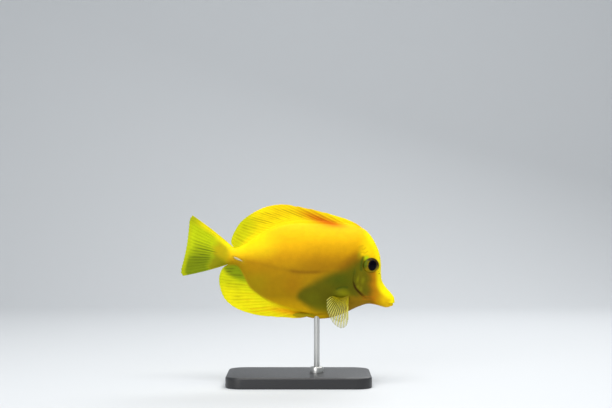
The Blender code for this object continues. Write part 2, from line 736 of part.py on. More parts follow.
def carrier(name, location=(0, 0, 0), rotation=(0, 0, 0)):
    made = bpy.data.objects.new(name, None)
    made.location = location
    made.rotation_euler = rotation
    bpy.context.scene.collection.objects.link(made)
    return made


def main():
    for old in list(bpy.data.objects):
        bpy.data.objects.remove(old)
    skin = material("skin_yellow", YELLOW, 0.45)
    fin = material("fin_yellow", FIN_YELLOW, 0.4)
    gold = material("iris_gold", IRIS_GOLD, 0.2)
    pupil = material("pupil_black", (0.01, 0.01, 0.012), 0.05)
    white = material("blade_white", (0.85, 0.85, 0.82), 0.3)
    black = material("stand_black", (0.03, 0.03, 0.032), 0.35)
    steel = material("stand_steel", (0.62, 0.62, 0.60), 0.3, 1.0)

    fish = carrier("fish_pose", (0, 0, LIFT * MM), (0, PITCH, 0))
    stand = carrier("stand_place")
    bpy.context.view_layer.update()
    flank = flank_finder()
    body = body_nodes(fish, skin)
    for side, word in ((-1, "right"), (1, "left")):
        eye_parts(body["head"], fish, flank, side, word, gold, pupil)
    cut_nostrils(body["head"], fish, flank)
    cut_mouth(body["head"], fish)
    scalpels(body["tail_stem"], fish, flank, white)
    for made in body.values():
        settle(made)

    clear_of_body = as_cutter(add_mesh("body_clearance", *body_shape(lobe_relief, GAP), fish))
    fin_nodes(fish, flank, fin, clear_of_body)
    rod_z = level([p for p in BELLY_LINE if p[0] < 60], ROD_AT)
    rod_x, belly_high = to_world(ROD_AT, rod_z)
    stand_nodes(stand, rod_x, rod_x - ROD_AHEAD, belly_high, clear_of_body, black, steel)
    for old in [o for o in bpy.data.objects if o.hide_render]:
        bpy.data.objects.remove(old)
    centre_on_origin((fish, stand))


main()
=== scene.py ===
"""Looks of the yellow tang: one smooth skin, finely rayed fins, eyes, tail blades and the stand.

Shapes are worked out in the fish's own frame in millimetres (+X to the snout, +Z to the back,
right side at negative y) and then set into the row's frame. Colours are named below and are
mixed over the skin and fins by smooth masks in that same frame: in them x and z are millimetres,
t is the share across a fin's rays and s the share along them.
"""

import math
from collections import namedtuple

import bmesh
import bpy
import numpy as np
from mathutils import Matrix
from mathutils import Vector
from mathutils.bvhtree import BVHTree


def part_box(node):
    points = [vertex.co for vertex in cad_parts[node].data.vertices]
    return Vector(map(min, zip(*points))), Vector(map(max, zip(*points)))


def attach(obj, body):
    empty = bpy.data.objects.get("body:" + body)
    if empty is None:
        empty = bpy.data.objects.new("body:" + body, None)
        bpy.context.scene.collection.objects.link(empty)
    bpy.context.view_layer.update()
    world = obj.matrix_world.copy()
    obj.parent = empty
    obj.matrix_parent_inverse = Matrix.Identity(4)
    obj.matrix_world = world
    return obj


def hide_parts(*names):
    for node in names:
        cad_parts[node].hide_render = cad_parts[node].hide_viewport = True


MM = 0.001

# How the fish is held, as in the solids
PITCH = math.radians(11)
LIFT = 88.0
SWING, SWING_FROM, SWING_TO = 4.0, 0.0, -83.0
SIDES = ((-1, "right"), (1, "left"))  # which way y runs on each side
ROD_AT = 20.5
ROD_RADIUS = 2.1
BASE_LENGTH, BASE_WIDTH, BASE_HIGH, BASE_CORNER = 104.0, 70.0, 8.0, 12.0

# The body in side view, from the snout into the root of the tail fin
BACK_LINE = (
    (73.3, -14.4), (72.4, -11.8), (69.5, -9.1), (65.3, -5.8), (61.8, -2.0),
    (59.8, 4.0), (58.6, 10.0), (56.3, 16.8), (51.3, 24.5), (45.7, 30.2),
    (40.5, 32.9), (34.0, 33.4), (24.0, 32.1), (8.0, 29.6), (-6.0, 27.2), (-17.0, 23.6),
    (-27.0, 16.8), (-35.0, 9.2), (-42.0, 3.2), (-47.5, 1.0), (-54.0, 3.6), (-61.0, 7.2),
)
BACK_END, BELLY_END = (-65.5, 9.4), (-65.5, -18.0)  # the skin alone runs on to here
BELLY_LINE = (
    (73.3, -14.4), (73.0, -16.5), (71.4, -18.9), (68.5, -20.2), (61.0, -19.8),
    (55.0, -20.1), (47.7, -24.0), (38.0, -31.0), (29.0, -35.7), (18.5, -38.0),
    (5.0, -36.8), (-8.0, -33.6), (-20.0, -29.2), (-29.5, -23.6), (-37.0, -15.8),
    (-42.0, -12.0), (-47.5, -10.7), (-54.5, -12.7), (-61.0, -16.4),
)
HALF_GIRTH = (
    (73.3, 0.0), (73.1, 1.3), (72.2, 2.4), (70.6, 3.1), (68.6, 3.6), (63.5, 4.4), (56.3, 6.6),
    (48.0, 8.7), (38.0, 9.9), (24.0, 10.4), (8.0, 9.8), (-10.0, 8.1), (-25.0, 6.2),
    (-38.0, 4.3), (-48.0, 2.9), (-54.0, 1.95), (-58.0, 1.3), (-62.0, 0.5), (-64.0, 0.2),
    (-65.5, 0.03),
)
LEAST_FRONT, LEAST_REAR = 0.25, 0.02  # the least half girth ahead of x = 0 and behind it
# How far the skin climbs the fins' bases, its half thickness there and how soft the hollow is
BACK_RIDGE = (
    (39.0, 0.0), (34.0, 0.8), (27.0, 1.8), (10.0, 2.6), (-20.0, 2.8), (-35.0, 2.4),
    (-44.0, 1.0), (-48.0, 0.0),
)
BELLY_RIDGE = (
    (12.0, 0.0), (5.0, 0.7), (-3.0, 1.5), (-15.0, 2.2), (-28.0, 1.6), (-36.0, 0.7),
    (-42.0, 0.0),
)
RIDGE_HALF, RIDGE_SOFT = 0.42, 0.85
RIDGE_CLOSES = 1.6  # how far in from its edge the climbing skin is at its full thickness
HEAD_POWER, TRUNK_POWER = 1.08, 1.4  # over 1 sharpens the back and the belly, where fins stand
HEAD_FROM, TRUNK_FROM = 46.0, 20.0  # x where each of the two holds in full
SHOULDER = 0.08
GILL_LINE = (
    (43.0, 36.0), (41.6, 31.6), (40.0, 16.4), (40.9, 1.2), (41.3, -5.4), (43.5, -9.7),
    (46.8, -12.5), (51.6, -15.2), (57.0, -18.2), (59.0, -22.0),
)
TAIL_ROOT_LINE = ((-50.5, 9.0), (-53.4, 4.0), (-56.5, -4.6), (-53.8, -13.0), (-51.0, -18.5))
TAIL_TOP, TAIL_BOTTOM = (-53.5, 3.8), (-53.7, -13.3)  # where the tail fin's edges leave the stem
TAIL_SKIN_FROM = -54.0  # the skin behind this x lies on the tail fin

# Details of the skin, the eyes and the tail's blades
COVER_RISE, COVER_FADE = 0.7, 9.0
SLIT_WIDE, SLIT_DEEP = 0.4, 0.8
SLIT_TOP, SLIT_FRONT = 2.5, 50.5
CHEEK_LINE = ((45.0, 2.5), (45.8, -3.0), (48.0, -7.5), (52.0, -10.8), (57.0, -12.6))
CHEEK_STEP = 0.16
LOBE_AT, LOBE_SIZE, LOBE_RISE = (35.4, -16.6), (7.0, 4.6), 0.9
LOBE_CREASE = ((28.6, -15.2), (31.6, -12.7), (34.6, -11.4), (37.4, -11.2))
CREASE_DEEP, CREASE_WIDE = 0.35, 0.8
LATERAL_LINE = (
    (41.0, 19.0), (30.0, 23.0), (12.0, 22.0), (-6.0, 17.5), (-22.0, 8.0), (-38.0, -3.6),
)
PORE_RISE, PORE_WIDE, PORE_TURNS = 0.07, 0.5, 320
EYE_AT, EYE_RADIUS, EYE_DEPTH, EYE_PROUD = (51.3, 7.5), 6.1, 3.5, 1.5
EYE_OPEN = (5.55, 4.95)  # the skin's opening round the eyeball, along and across the head
EYE_LOOK = math.radians(20)
PUPIL_RADII, PUPIL_THICK = (3.15, 3.85), 1.1
PUPIL_RAISE = 0.55  # how far the pupil's middle sits above the eye's
RING_AHEAD = 1.1  # how far the painted ring round the pupil sits ahead of the eye's middle
PUPIL_SUNK = 0.55  # how deep the lens's middle sits in the iris, in its own half thicknesses
RIM_RISE, RIM_WIDE, RIM_OUT, SOCKET_DEEP = 0.22, 1.3, 0.7, 2.6
NOSTRILS = ((58.4, 2.9, 0.55), (57.5, 4.6, 0.4))
NOSTRIL_DEEP, NOSTRIL_RIM, NOSTRIL_RIM_WIDE = 0.7, 0.1, 0.3
MOUTH_CORNER, MOUTH_FRONT, MOUTH_DROOP = (69.0, -16.9), (74.3, -16.4), 0.07
LIP_RISE, LIP_OFFSET, LIP_WIDE = 0.4, 1.25, 0.75
LIP_SLIT, LIP_SLIT_WIDE = 0.85, 0.28
CHIN_FOLD, CHIN_FOLD_WIDE, CHIN_FOLD_BELOW = 0.15, 0.5, 2.6
SCALPEL_ROOT, SCALPEL_TIP = (-47.35, -5.45), (-39.95, -7.2)
SCALPEL_HIGH, SCALPEL_THICK, SCALPEL_SUNK = 1.4, 1.0, 0.4
BLADE_ROWS, BLADE_SIDES = 40, 20
GROOVE_LINE, GROOVE_DEEP = (SCALPEL_ROOT, SCALPEL_TIP), 0.2

# Where the markings and the painted shade run
# The edge of the painted olive shadow behind and below the gill cover
SHADOW_PATCH_EDGE = (
    (3.2, -24.6), (3.7, -21.6), (6.0, -18.2), (9.6, -15.0), (14.2, -10.9), (19.1, -6.6),
    (24.1, -3.2), (29.1, -0.6), (34.2, 2.4), (37.9, 6.2), (42.0, 10.0), (47.0, 12.0),
    (50.0, 0.0), (48.0, -26.0), (40.0, -30.0), (30.5, -31.6), (24.0, -31.4), (17.2, -31.2),
    (12.0, -29.8), (7.4, -27.8), (4.4, -26.2), (3.2, -24.6),
)
DUSKY_LINE = (
    (-40.0, -7.4), (-27.9, -6.5), (-16.0, -7.0), (-7.5, -7.3), (1.2, -6.6), (8.4, -5.5),
    (15.4, -3.8), (22.5, -2.0),
)
FLASH_LINE = (
    (33.0, 32.6), (27.2, 32.0), (21.3, 31.9), (15.0, 32.3), (9.2, 33.1), (0.5, 34.6),
    (-7.0, 35.4), (-14.0, 35.8),
)
NAPE_STROKES = (
    ((42.2, 17.4), (43.6, 18.0), (45.2, 19.4)), ((43.8, 15.0), (45.4, 15.8), (47.0, 17.2)),
    ((41.6, 14.6), (42.6, 15.6), (44.4, 16.2)), ((39.8, 18.6), (41.2, 19.8), (43.0, 20.6)),
)
# Painted dark green shadow along the eye socket's rear edge
EYE_SHADOW_LINE = ((44.6, 12.4), (44.2, 8.4), (44.9, 3.6))
CHEEK_STRIPES = (
    ((50.5, -15.4), (54.5, -14.8), (58.5, -14.4)), ((50.5, -17.3), (54.5, -16.7), (58.5, -16.3)),
)
# Painted shade along the fold where the pelvic fins lie against the belly
PELVIC_FOLD = ((8.0, -35.6), (17.2, -35.2), (28.2, -32.4))
ANAL_GLOW = ((6.0, -36.4), (-6.0, -36.8), (-22.0, -37.4))
# How far below the belly's line the fin's colour starts, along the body
ANAL_BORDER = (
    (12.0, -3.0), (3.0, -1.9), (-9.7, 0.1), (-24.5, 2.2), (-33.0, 3.7), (-38.0, 2.3),
    (-42.3, 0.4), (-46.0, 0.7), (-50.0, 1.8), (-61.0, 1.8),
)

# Fins, their outlines as in the solids
DORSAL_ROOT = (0.356, 0.92)
DORSAL_EDGE = (
    (40.6, 32.9), (34.8, 35.6), (27.0, 37.3), (14.6, 38.7), (-8.5, 39.6), (-21.6, 38.4),
    (-33.9, 33.2), (-46.6, 21.2), (-50.2, 12.8), (-51.4, 6.0), (-50.4, 3.2), (-48.6, 2.0),
)
DORSAL_REACH = (
    (0.0, 0.0), (0.09, 0.3), (0.2, 0.53), (0.36, 0.66), (0.53, 0.755), (0.75, 0.865),
    (0.89, 0.935), (1.0, 1.0),
)
DORSAL_SPINES, DORSAL_RAYS = 5, 24
ANAL_ROOT = (0.448, 0.92)
ANAL_EDGE = (
    (14.0, -37.4), (8.5, -39.8), (-3.0, -41.6), (-14.4, -43.0), (-25.0, -43.5),
    (-38.7, -41.6), (-47.6, -36.9), (-53.0, -29.0), (-54.9, -21.5), (-53.8, -15.4),
    (-51.3, -12.4), (-49.2, -11.4),
)
ANAL_REACH = (
    (0.0, 0.0), (0.06, 0.16), (0.15, 0.38), (0.27, 0.56), (0.42, 0.7), (0.6, 0.81),
    (0.8, 0.91), (1.0, 1.0),
)
ANAL_SPINES, ANAL_RAYS = 3, 20
CAUDAL_EDGE = (
    (-82.5, 18.5), (-83.9, 16.0), (-83.3, 5.7), (-82.6, -4.3), (-82.7, -14.1),
    (-82.9, -23.9), (-81.0, -26.3),
)
CAUDAL_RAYS, CAUDAL_ROOT = 18, (0.2, 0.8)
CAUDAL_BOW, CAUDAL_WAVE, CAUDAL_BURIED = 0.7, 0.8, 0.2
PECTORAL_ROOT = ((39.4, -17.2), (35.2, -19.4), (30.8, -19.6))
PECTORAL_EDGE = (
    (41.9, -32.5), (41.4, -37.0), (38.6, -39.2), (34.2, -38.3), (29.6, -34.6),
    (26.2, -29.6), (24.5, -22.4),
)
PECTORAL_OUT = ((0.0, 16.0), (0.3, 18.5), (0.7, 14.5), (1.0, 9.0))
PECTORAL_RAYS = 15
PECTORAL_BOW, PECTORAL_SUNK, PECTORAL_BURIED = 1.6, 0.8, 0.04
PECTORAL_WEB_HALF = 0.07
FIRST_RAY, OTHER_RAYS, RAY_FORK = 0.5, 0.36, 0.0095  # rod radii at the root, and how far rods fork
RAY_REACH = 0.99  # the rods end just inside the web's edge
TUBE_ROWS, TUBE_SIDES = 26, 6
PELVIC_ROOT = ((34.6, -32.7), (31.4, -33.0))
PELVIC_EDGE = ((6.5, -39.0), (2.6, -38.4), (5.0, -36.6), (9.5, -35.8))
PELVIC_SPREAD, PELVIC_RAYS = 3.5, 6
WEB_HALF, RAY_HALF, SPINE_HALF = 0.13, 0.36, 0.6
ROOT_BURIED = 2.0
MEDIAN_ROOT_HALF, PELVIC_ROOT_HALF, PELVIC_SUNK = 0.55, 0.6, 0.6

# The stand in millimetres, then the floor, the lights' aim and the camera in metres
COLLAR = ((5.0, BASE_HIGH), (5.0, 11.4), (4.8, 11.9), (4.3, 12.2), (2.3, 12.3))
ROD_IN_BODY = 1.0
EDGE_ROUND, FOOT_INSET, CORNER_STEPS, EDGE_STEPS = 1.4, 0.5, 14, 5
SHARP = math.radians(40)
FLOOR_HALF, FLOOR_FRONT = 2.6, -1.6
BACKDROP_FROM, BACKDROP_ROUND, BACKDROP_HIGH, BACKDROP_STEPS = 0.75, 0.45, 2.2, 24
LIGHT_TARGET = (0.0, 0.0, 0.09)
CAMERA_AT, CAMERA_LENS = (0.01335, -1.0476, 0.13005), 85.0

# How finely the skin is divided
SKIN_RINGS, SKIN_ARC = 336, 286
RING_SPREAD = ((0.0, 0.0), (0.3, 0.16), (0.6, 0.34), (0.8, 0.64), (1.0, 1.0))
FLANK_CROWD = 0.17  # brings a ring's points closer together on the flanks
GRAIN_DEEP = 0.0002  # of the materials' fine grain, in metres

# Colours, 0 to 255 as a screen shows them
# The flank's colour at each height of the held fish, from its back down
# Partly painted shade: lighter at the back, darker on the lower flank, as the light falls from above
FLANK_STOPS = (
    (36.0, (255, 206, 5)), (24.0, (252, 192, 3)), (14.0, (232, 176, 3)), (5.0, (204, 148, 2)),
    (-3.0, (180, 133, 2)), (-12.0, (168, 127, 3)), (-24.0, (168, 130, 3)), (-33.0, (212, 165, 5)),
    (-40.0, (206, 166, 10)),
)
FLANK_AMBER = (166, 112, 3)
# Painted shade in a band over the front of the flank, above the olive shadow
BAND_SHADE_AMBER = (150, 104, 3)
REAR_OCHRE = (164, 138, 3)
LEMON = (255, 236, 8)
HEAD_YELLOW = (248, 208, 6)
# Painted shade on the head's sides, ahead of and below the eye and along the snout
SNOUT_SIDE_SHADE = (196, 132, 5)
UNDER_EYE_SHADE = (150, 106, 6)
SNOUT_GOLD = (236, 190, 8)
NAPE_BROWN = (138, 95, 3)
# The painted olive shadow behind and below the gill cover, with greener and paler parts
SHADOW_PATCH_OLIVE = (90, 89, 2)
SHADOW_PATCH_GREEN = (71, 85, 3)
SHADOW_PATCH_PALE = (112, 112, 6)
CHEEK_OLIVE = (106, 98, 4)
CHEEK_LIGHT = (140, 136, 12)
THROAT_BROWN = (154, 117, 6)
JAW_AMBER = (150, 112, 6)
STRIPE_ORANGE = (206, 116, 10)
# Painted highlight on the socket's raised rim, above the eye
LIME = (168, 200, 10)
# Painted shade: behind the eye, in the fin lobe's crease and at the top of the gill slit
SHADE_GREEN = (56, 76, 6)
STEM_YELLOW = (252, 208, 5)
STEM_AMBER = (162, 138, 3)
# Painted shade in the gill slit
GILL_SLIT_SHADE = (70, 34, 10)
DUSKY = (122, 82, 3)
LOBE_YELLOW = (128, 126, 5)
SOCKET_BROWN = (70, 52, 5)
# Tan for the painted shade in the blades' grooves; the blades' roots take it too
GROOVE_TAN = (184, 152, 24)
# Painted shade in the slit between the lips and in the nostrils
RECESS_SHADE = (136, 92, 8)
DORSAL_YELLOW = (250, 222, 5)
DORSAL_REAR = (198, 202, 4)
FIN_ORANGE = (210, 96, 0)
FLASH_DARK = (166, 84, 0)
FIN_AMBER = (224, 172, 2)
FIN_SHADE = (142, 116, 2)
ANAL_LEMON = (232, 222, 5)
ANAL_GREEN = (128, 146, 5)
ANAL_DEEP = (70, 88, 3)
ANAL_ORANGE = (250, 138, 2)
NAPE_GOLD = (192, 152, 4)
PELVIC_OLIVE = (170, 150, 6)
TAIL_BRIGHT = (240, 222, 5)
TAIL_GOLD = (184, 164, 3)
TAIL_OLIVE = (140, 136, 4)
TAIL_LIME = (188, 202, 5)
TAIL_GREEN = (96, 113, 4)
TAIL_CORNER = (150, 162, 5)
TAIL_STREAK = (66, 80, 3)
RIM_YELLOW = (184, 192, 5)
BLADE_WHITE = (186, 178, 140)
IRIS_OLIVE, IRIS_GOLD = (112, 100, 5), (146, 122, 6)
IRIS_GREEN, IRIS_BROWN = (92, 104, 8), (58, 42, 6)
RAY_STOPS = ((0.0, (150, 132, 10)), (0.3, (214, 200, 24)), (1.0, (176, 172, 92)))
WEB_PALE = (150, 150, 64)

# Soft ovals of colour, each with its strength, middle and half sizes
FLANK_SPOTS = (
    (FLANK_AMBER, 0.5, (-1.0, -17.0), (11.0, 15.0)),
    (DORSAL_YELLOW, 0.6, (-30.0, 8.0), (19.0, 15.0)),
)
# Greener and paler parts within the painted olive shadow
SHADOW_PATCH_SPOTS = (
    (SHADOW_PATCH_GREEN, 0.6, (31.0, -7.0), (15.0, 9.0)),
    (SHADOW_PATCH_PALE, 0.8, (22.0, -31.0), (15.0, 8.0)),
    (SHADOW_PATCH_PALE, 0.5, (14.0, -24.0), (12.0, 8.0)),
    (SHADOW_PATCH_PALE, 0.5, (34.0, -15.0), (8.0, 6.0)),
)
EYE_SPOTS = (
    # The lime oval is a painted highlight on the socket's raised rim
    (LIME, 0.9, (47.2, 12.4), (3.4, 3.2)),
    (HEAD_YELLOW, 0.7, (43.6, 15.2), (3.6, 3.0)),
    (CHEEK_LIGHT, 0.5, (41.6, 13.6), (2.2, 4.0)),
)
CHEEK_SPOTS = (
    (CHEEK_LIGHT, 0.55, (47.6, -3.9), (2.5, 4.2)),
    (CHEEK_LIGHT, 0.55, (44.9, -9.2), (1.9, 2.8)),
    (CHEEK_LIGHT, 0.55, (47.4, -10.4), (2.0, 3.2)),
    (CHEEK_LIGHT, 0.55, (43.8, -3.8), (1.5, 4.0)),
)
LOBE_SPOTS = ((LOBE_YELLOW, 0.9, (36.4, -16.2), (8.5, 4.6)),)
# Painted shade at the top of the gill slit
GILL_TOP_SHADE_SPOTS = ((SHADE_GREEN, 0.4, (40.4, 0.4), (2.0, 4.0)),)
TAIL_SPOTS = ((TAIL_CORNER, 0.8, (-82.5, 16.0), (12.0, 8.0)),)

# Colours of light itself, 0 to 1, for what isn't painted point by point
PUPIL_BLACK = (0.001, 0.0005, 0.003)
BASE_BLACK = (0.022, 0.022, 0.024)
ROD_STEEL = (0.6, 0.6, 0.58)
FLOOR_GREY = (0.62, 0.64, 0.66)
WARM_WHITE, WHITE, SKY_BLUE = (1.0, 0.99, 0.97), (1.0, 1.0, 1.0), (0.92, 0.96, 1.0)
SKY_STRENGTH = 0.42

# Lights, each with its name, place and size in metres, watts and colour
LIGHTS = (
    ("top_light", (0.05, -0.25, 0.95), (0.9, 0.6), 9.5, WARM_WHITE),
    ("front_light", (-0.55, -1.1, 0.45), (0.7, 0.7), 5.0, WHITE),
    ("back_light", (0.3, 0.7, 0.7), (0.5, 0.4), 3.5, WHITE),
)

Grid = namedtuple("Grid", "middle x z t s ridge spine wide high")


def linear(colour):
    """A colour of 0 to 255 as a screen shows it, turned into light."""
    c = np.array(colour, float) / 255
    return np.where(c <= 0.04045, c / 12.92, ((c + 0.055) / 1.055) ** 2.4)


def rise(v, low, high):
    """0 below low, 1 above high, and smooth between them. low may be the larger of the two."""
    t = np.clip((np.asarray(v, float) - low) / (high - low), 0.0, 1.0)
    return t * t * (3 - 2 * t)


def span(v, start, full, fading, end):
    """0 outside start to end, 1 from full to fading, and smooth between them."""
    return rise(v, start, full) * rise(v, end, fading)


def hump(off, wide):
    """1 where off is 0, falling away softly over a width on both sides."""
    return np.exp(-((off / wide) ** 2))


def blob(x, z, at, size):
    """1 in the middle of an oval and fading to nothing at its edge."""
    return 1 - rise(np.hypot((x - at[0]) / size[0], (z - at[1]) / size[1]), 0.0, 1.0)


def plain(colour, count):
    """The same colour for each of so many points."""
    return np.tile(linear(colour), (count, 1))


def blend(under, over, share):
    """One paint laid over another by a share for each point."""
    share = np.clip(share, 0, 1)[:, None]
    return under * (1 - share) + over * share


def coats(paint, *layers):
    """A paint with colours laid over it in turn, each as (colour, share for each point)."""
    for colour, share in layers:
        paint = blend(paint, linear(colour), share)
    return paint


def spots(x, z, ovals, share=1.0):
    """Layers for soft ovals of colour."""
    return [(tint, strength * share * blob(x, z, at, size)) for tint, strength, at, size in ovals]


def stops(v, points):
    """Colours read off a smooth scale of (value, colour) steps."""
    values, colours = zip(*sorted(points))
    tints = linear(colours)
    return np.stack([np.interp(v, values, tints[:, k]) for k in range(3)], -1)


def unit(vectors):
    """Vectors of the same directions and of length 1."""
    return vectors / np.linalg.norm(vectors, axis=-1)[..., None]


def dense_line(points, steps=14):
    """Points close together on a smooth line through the given ones (centripetal Catmull-Rom)."""
    p = np.array(points, float)
    p = np.vstack([2 * p[0] - p[1], p, 2 * p[-1] - p[-2]])
    knots = np.concatenate([[0], np.cumsum(np.linalg.norm(np.diff(p, axis=0), axis=1) ** 0.5)])
    made = []
    for k in range(len(p) - 3):
        at = knots[k : k + 4]
        t = np.linspace(at[1], at[2], steps, endpoint=False)[:, None]
        made.append(between_knots(list(p[k : k + 4]), at, t))
    return np.vstack([*made, p[-2:-1]])


def between_knots(points, at, t):
    """The curve through four points at the knots at, for values t between the middle two."""
    for reach in (1, 2):
        points = [
            ((at[k + reach] - t) * a + (t - at[k]) * b) / (at[k + reach] - at[k])
            for k, (a, b) in enumerate(zip(points, points[1:]))
        ]
    return ((at[2] - t) * points[0] + (t - at[1]) * points[1]) / (at[2] - at[1])


def along(points, shares):
    """Points at the given shares of the length of the smooth line through the given ones."""
    line = dense_line(points)
    lengths = np.concatenate([[0], np.cumsum(np.linalg.norm(np.diff(line, axis=0), axis=1))])
    shares = np.asarray(shares, float) * lengths[-1]
    return np.stack([np.interp(shares, lengths, line[:, k]) for k in range(line.shape[1])], -1)


def level(points, x):
    """The smooth line's second number at x, for points whose first number only rises or falls."""
    line = dense_line(points)
    line = line[np.argsort(line[:, 0])]
    return np.interp(x, line[:, 0], line[:, 1])


def line_at(x, z, points):
    """Distance of each point to a smooth line, its share along it, and its side.

    The side is 1 on the left of the line's run and -1 on its right.
    """
    line = dense_line(points, 6)
    steps = np.diff(line, axis=0)
    lengths = np.linalg.norm(steps, axis=1)
    before = np.concatenate([[0], np.cumsum(lengths)])
    best = np.full(x.shape, 1e9)
    share = np.zeros(x.shape)
    side = np.ones(x.shape)
    for start, step, size, done in zip(line, steps, lengths, before):
        t = np.clip(((x - start[0]) * step[0] + (z - start[1]) * step[1]) / size**2, 0, 1)
        dx, dz = x - start[0] - t * step[0], z - start[1] - t * step[1]
        away = np.hypot(dx, dz)
        near = away < best
        best = np.where(near, away, best)
        share = np.where(near, (done + t * size) / before[-1], share)
        side = np.where(near, np.sign(step[0] * dz - step[1] * dx), side)
    return best, share, side


def beside(x, z, points):
    """Distance of each point to a smooth line, negative on the right of the line's run."""
    off, _, side = line_at(x, z, points)
    return off * side


def stroke(x, z, points, wide, fade=(-1.0, 0.0)):
    """How much of a soft stroke along a line each point has, fading in between two shares of it."""
    off, share, _ = line_at(x, z, points)
    return hump(off, wide) * rise(share, *fade)


def swing(x):
    """How far the tail is swept to the left at x."""
    t = np.clip((SWING_FROM - np.asarray(x, float)) / (SWING_FROM - SWING_TO), 0.0, None)
    return SWING * t * t


def upright(x, z):
    """Height over the fish's own origin in the pitch at which it is held."""
    return z * math.cos(PITCH) - x * math.sin(PITCH)


def to_row(x, z):
    """Where a point of the fish's mid-plane stands, before the row's own shift along x."""
    return x * math.cos(PITCH) + z * math.sin(PITCH), upright(x, z) + LIFT


def middle_of(node):
    """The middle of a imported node's box in plan, in millimetres."""
    low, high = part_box(node)
    return (low.x + high.x) / 2 / MM, (low.y + high.y) / 2 / MM


def row_shift():
    """How far the whole row is shifted along x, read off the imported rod."""
    return middle_of("stand_rod")[0] - to_row(ROD_AT, level(BELLY_LINE, ROD_AT))[0]


def placed(points):
    """Points of the fish's own frame, swept with the tail and set into the row's frame, in metres."""
    points = np.array(points, float)
    points[:, 1] += swing(points[:, 0])
    x, z = to_row(points[:, 0], points[:, 2])
    return np.stack([x + row_shift(), points[:, 1], z], -1) * MM


def put(name, data):
    """A new object in the scene."""
    made = bpy.data.objects.new(name, data)
    bpy.context.scene.collection.objects.link(made)
    return made


def add_mesh(name, points, faces, look):
    """A smooth-shaded object from points in metres."""
    mesh = bpy.data.meshes.new(name)
    mesh.from_pydata(points, [], faces)
    mesh.shade_smooth()
    mesh.materials.append(look)
    return put(name, mesh)


def belongs(piece, nodes):
    """Hangs a piece on the root's empty and hides the nodes that it takes the place of."""
    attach(piece, "root")
    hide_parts(*nodes)


def add_piece(name, points, faces, look, nodes, paint=None):
    """A piece from points of the fish's own frame, with a colour for each point if painted."""
    piece = add_mesh(name, placed(points), faces, look)
    if paint is not None:
        layer = piece.data.attributes.new("paint", "FLOAT_COLOR", "POINT")
        values = np.hstack([paint, np.ones((len(paint), 1))])
        layer.data.foreach_set("color", values.astype(np.float32).ravel())
    belongs(piece, nodes)


def tube_faces(rows, sides, start=0, closed=True):
    """Faces of a tube whose points run ring by ring, with its two ends where it is closed."""
    last = start + (rows - 1) * sides
    faces = [
        (q + k, q + n, q + sides + n, q + sides + k)
        for q in range(start, last, sides)
        for k, n in zip(range(sides), [*range(1, sides), 0])
    ]
    if closed:
        faces.append(tuple(reversed(range(start, start + sides))))
        faces.append(tuple(range(last, last + sides)))
    return faces


def flank_relief(x, z):
    """What rises or sinks on both flanks, along the skin's normal."""
    ahead = beside(x, z, GILL_LINE)
    reach = rise(z, SLIT_TOP + 3, SLIT_TOP - 4) * rise(x, SLIT_FRONT + 4, SLIT_FRONT - 2)
    low = rise(z, -2, -9)
    lift = COVER_RISE * span(ahead, -0.3, 0.15, 0.4, COVER_FADE) * (0.55 + 0.45 * low)
    slit = SLIT_DEEP * hump(ahead + 0.4, SLIT_WIDE) * (0.4 + 0.6 * low)
    inside = beside(x, z, CHEEK_LINE)
    cheek = CHEEK_STEP * rise(inside, -1.2, 0.4) * rise(np.abs(inside), 4.0, 0.5)
    lobe = LOBE_RISE * blob(x, z, LOBE_AT, LOBE_SIZE)
    crease = CREASE_DEEP * stroke(x, z, LOBE_CREASE, CREASE_WIDE, (0.0, 0.2))
    off, share, _ = line_at(x, z, LATERAL_LINE)
    pores = PORE_RISE * hump(off, PORE_WIDE) * (0.75 + 0.25 * np.sin(share * PORE_TURNS))
    return (lift - slit) * reach + cheek + lobe - crease + pores


def from_mouth(x, y, z):
    """How far above the line of the mouth a point is. The line droops to both corners."""
    (x0, z0), (x1, z1) = MOUTH_CORNER, MOUTH_FRONT
    return z - (z0 + (x - x0) * (z1 - z0) / (x1 - x0)) + MOUTH_DROOP * y**2


def mouth_relief(x, y, z):
    """The lips' two rolls, the slit between them and the fold over the chin."""
    off, back = from_mouth(x, y, z), MOUTH_CORNER[0]
    front = rise(x, back - 1.2, back + 0.6)
    rolls = LIP_RISE * hump(np.abs(off) - LIP_OFFSET, LIP_WIDE)
    fold = CHIN_FOLD * hump(off + CHIN_FOLD_BELOW, CHIN_FOLD_WIDE)
    slit = LIP_SLIT * hump(off, LIP_SLIT_WIDE) * rise(x, back - 0.2, back + 0.6)
    return (rolls - fold) * front - slit


def from_eye(x, z):
    """How far outside the eye's oval opening a point is, in millimetres, and negative inside."""
    wide, high = EYE_OPEN
    share = np.hypot((x - EYE_AT[0]) / wide, (z - EYE_AT[1]) / high)
    return (share - 1) * (wide + high) / 2


def pit_relief(x, z):
    """Eye sockets with their raised rims, nostrils and the grooves of the tail's blades."""
    away = from_eye(x, z)
    relief = RIM_RISE * hump(away - RIM_OUT, RIM_WIDE) - SOCKET_DEEP * rise(away, 0.1, -0.7)
    for nx, nz, radius in NOSTRILS:
        off = np.hypot(x - nx, z - nz)
        relief = relief - NOSTRIL_DEEP * rise(off, radius, radius * 0.35)
        relief = relief + NOSTRIL_RIM * hump(off - radius - 0.2, NOSTRIL_RIM_WIDE)
    groove = line_at(x, z, GROOVE_LINE)[0]
    return relief - GROOVE_DEEP * rise(groove, SCALPEL_HIGH * 0.9, SCALPEL_HIGH * 0.3)


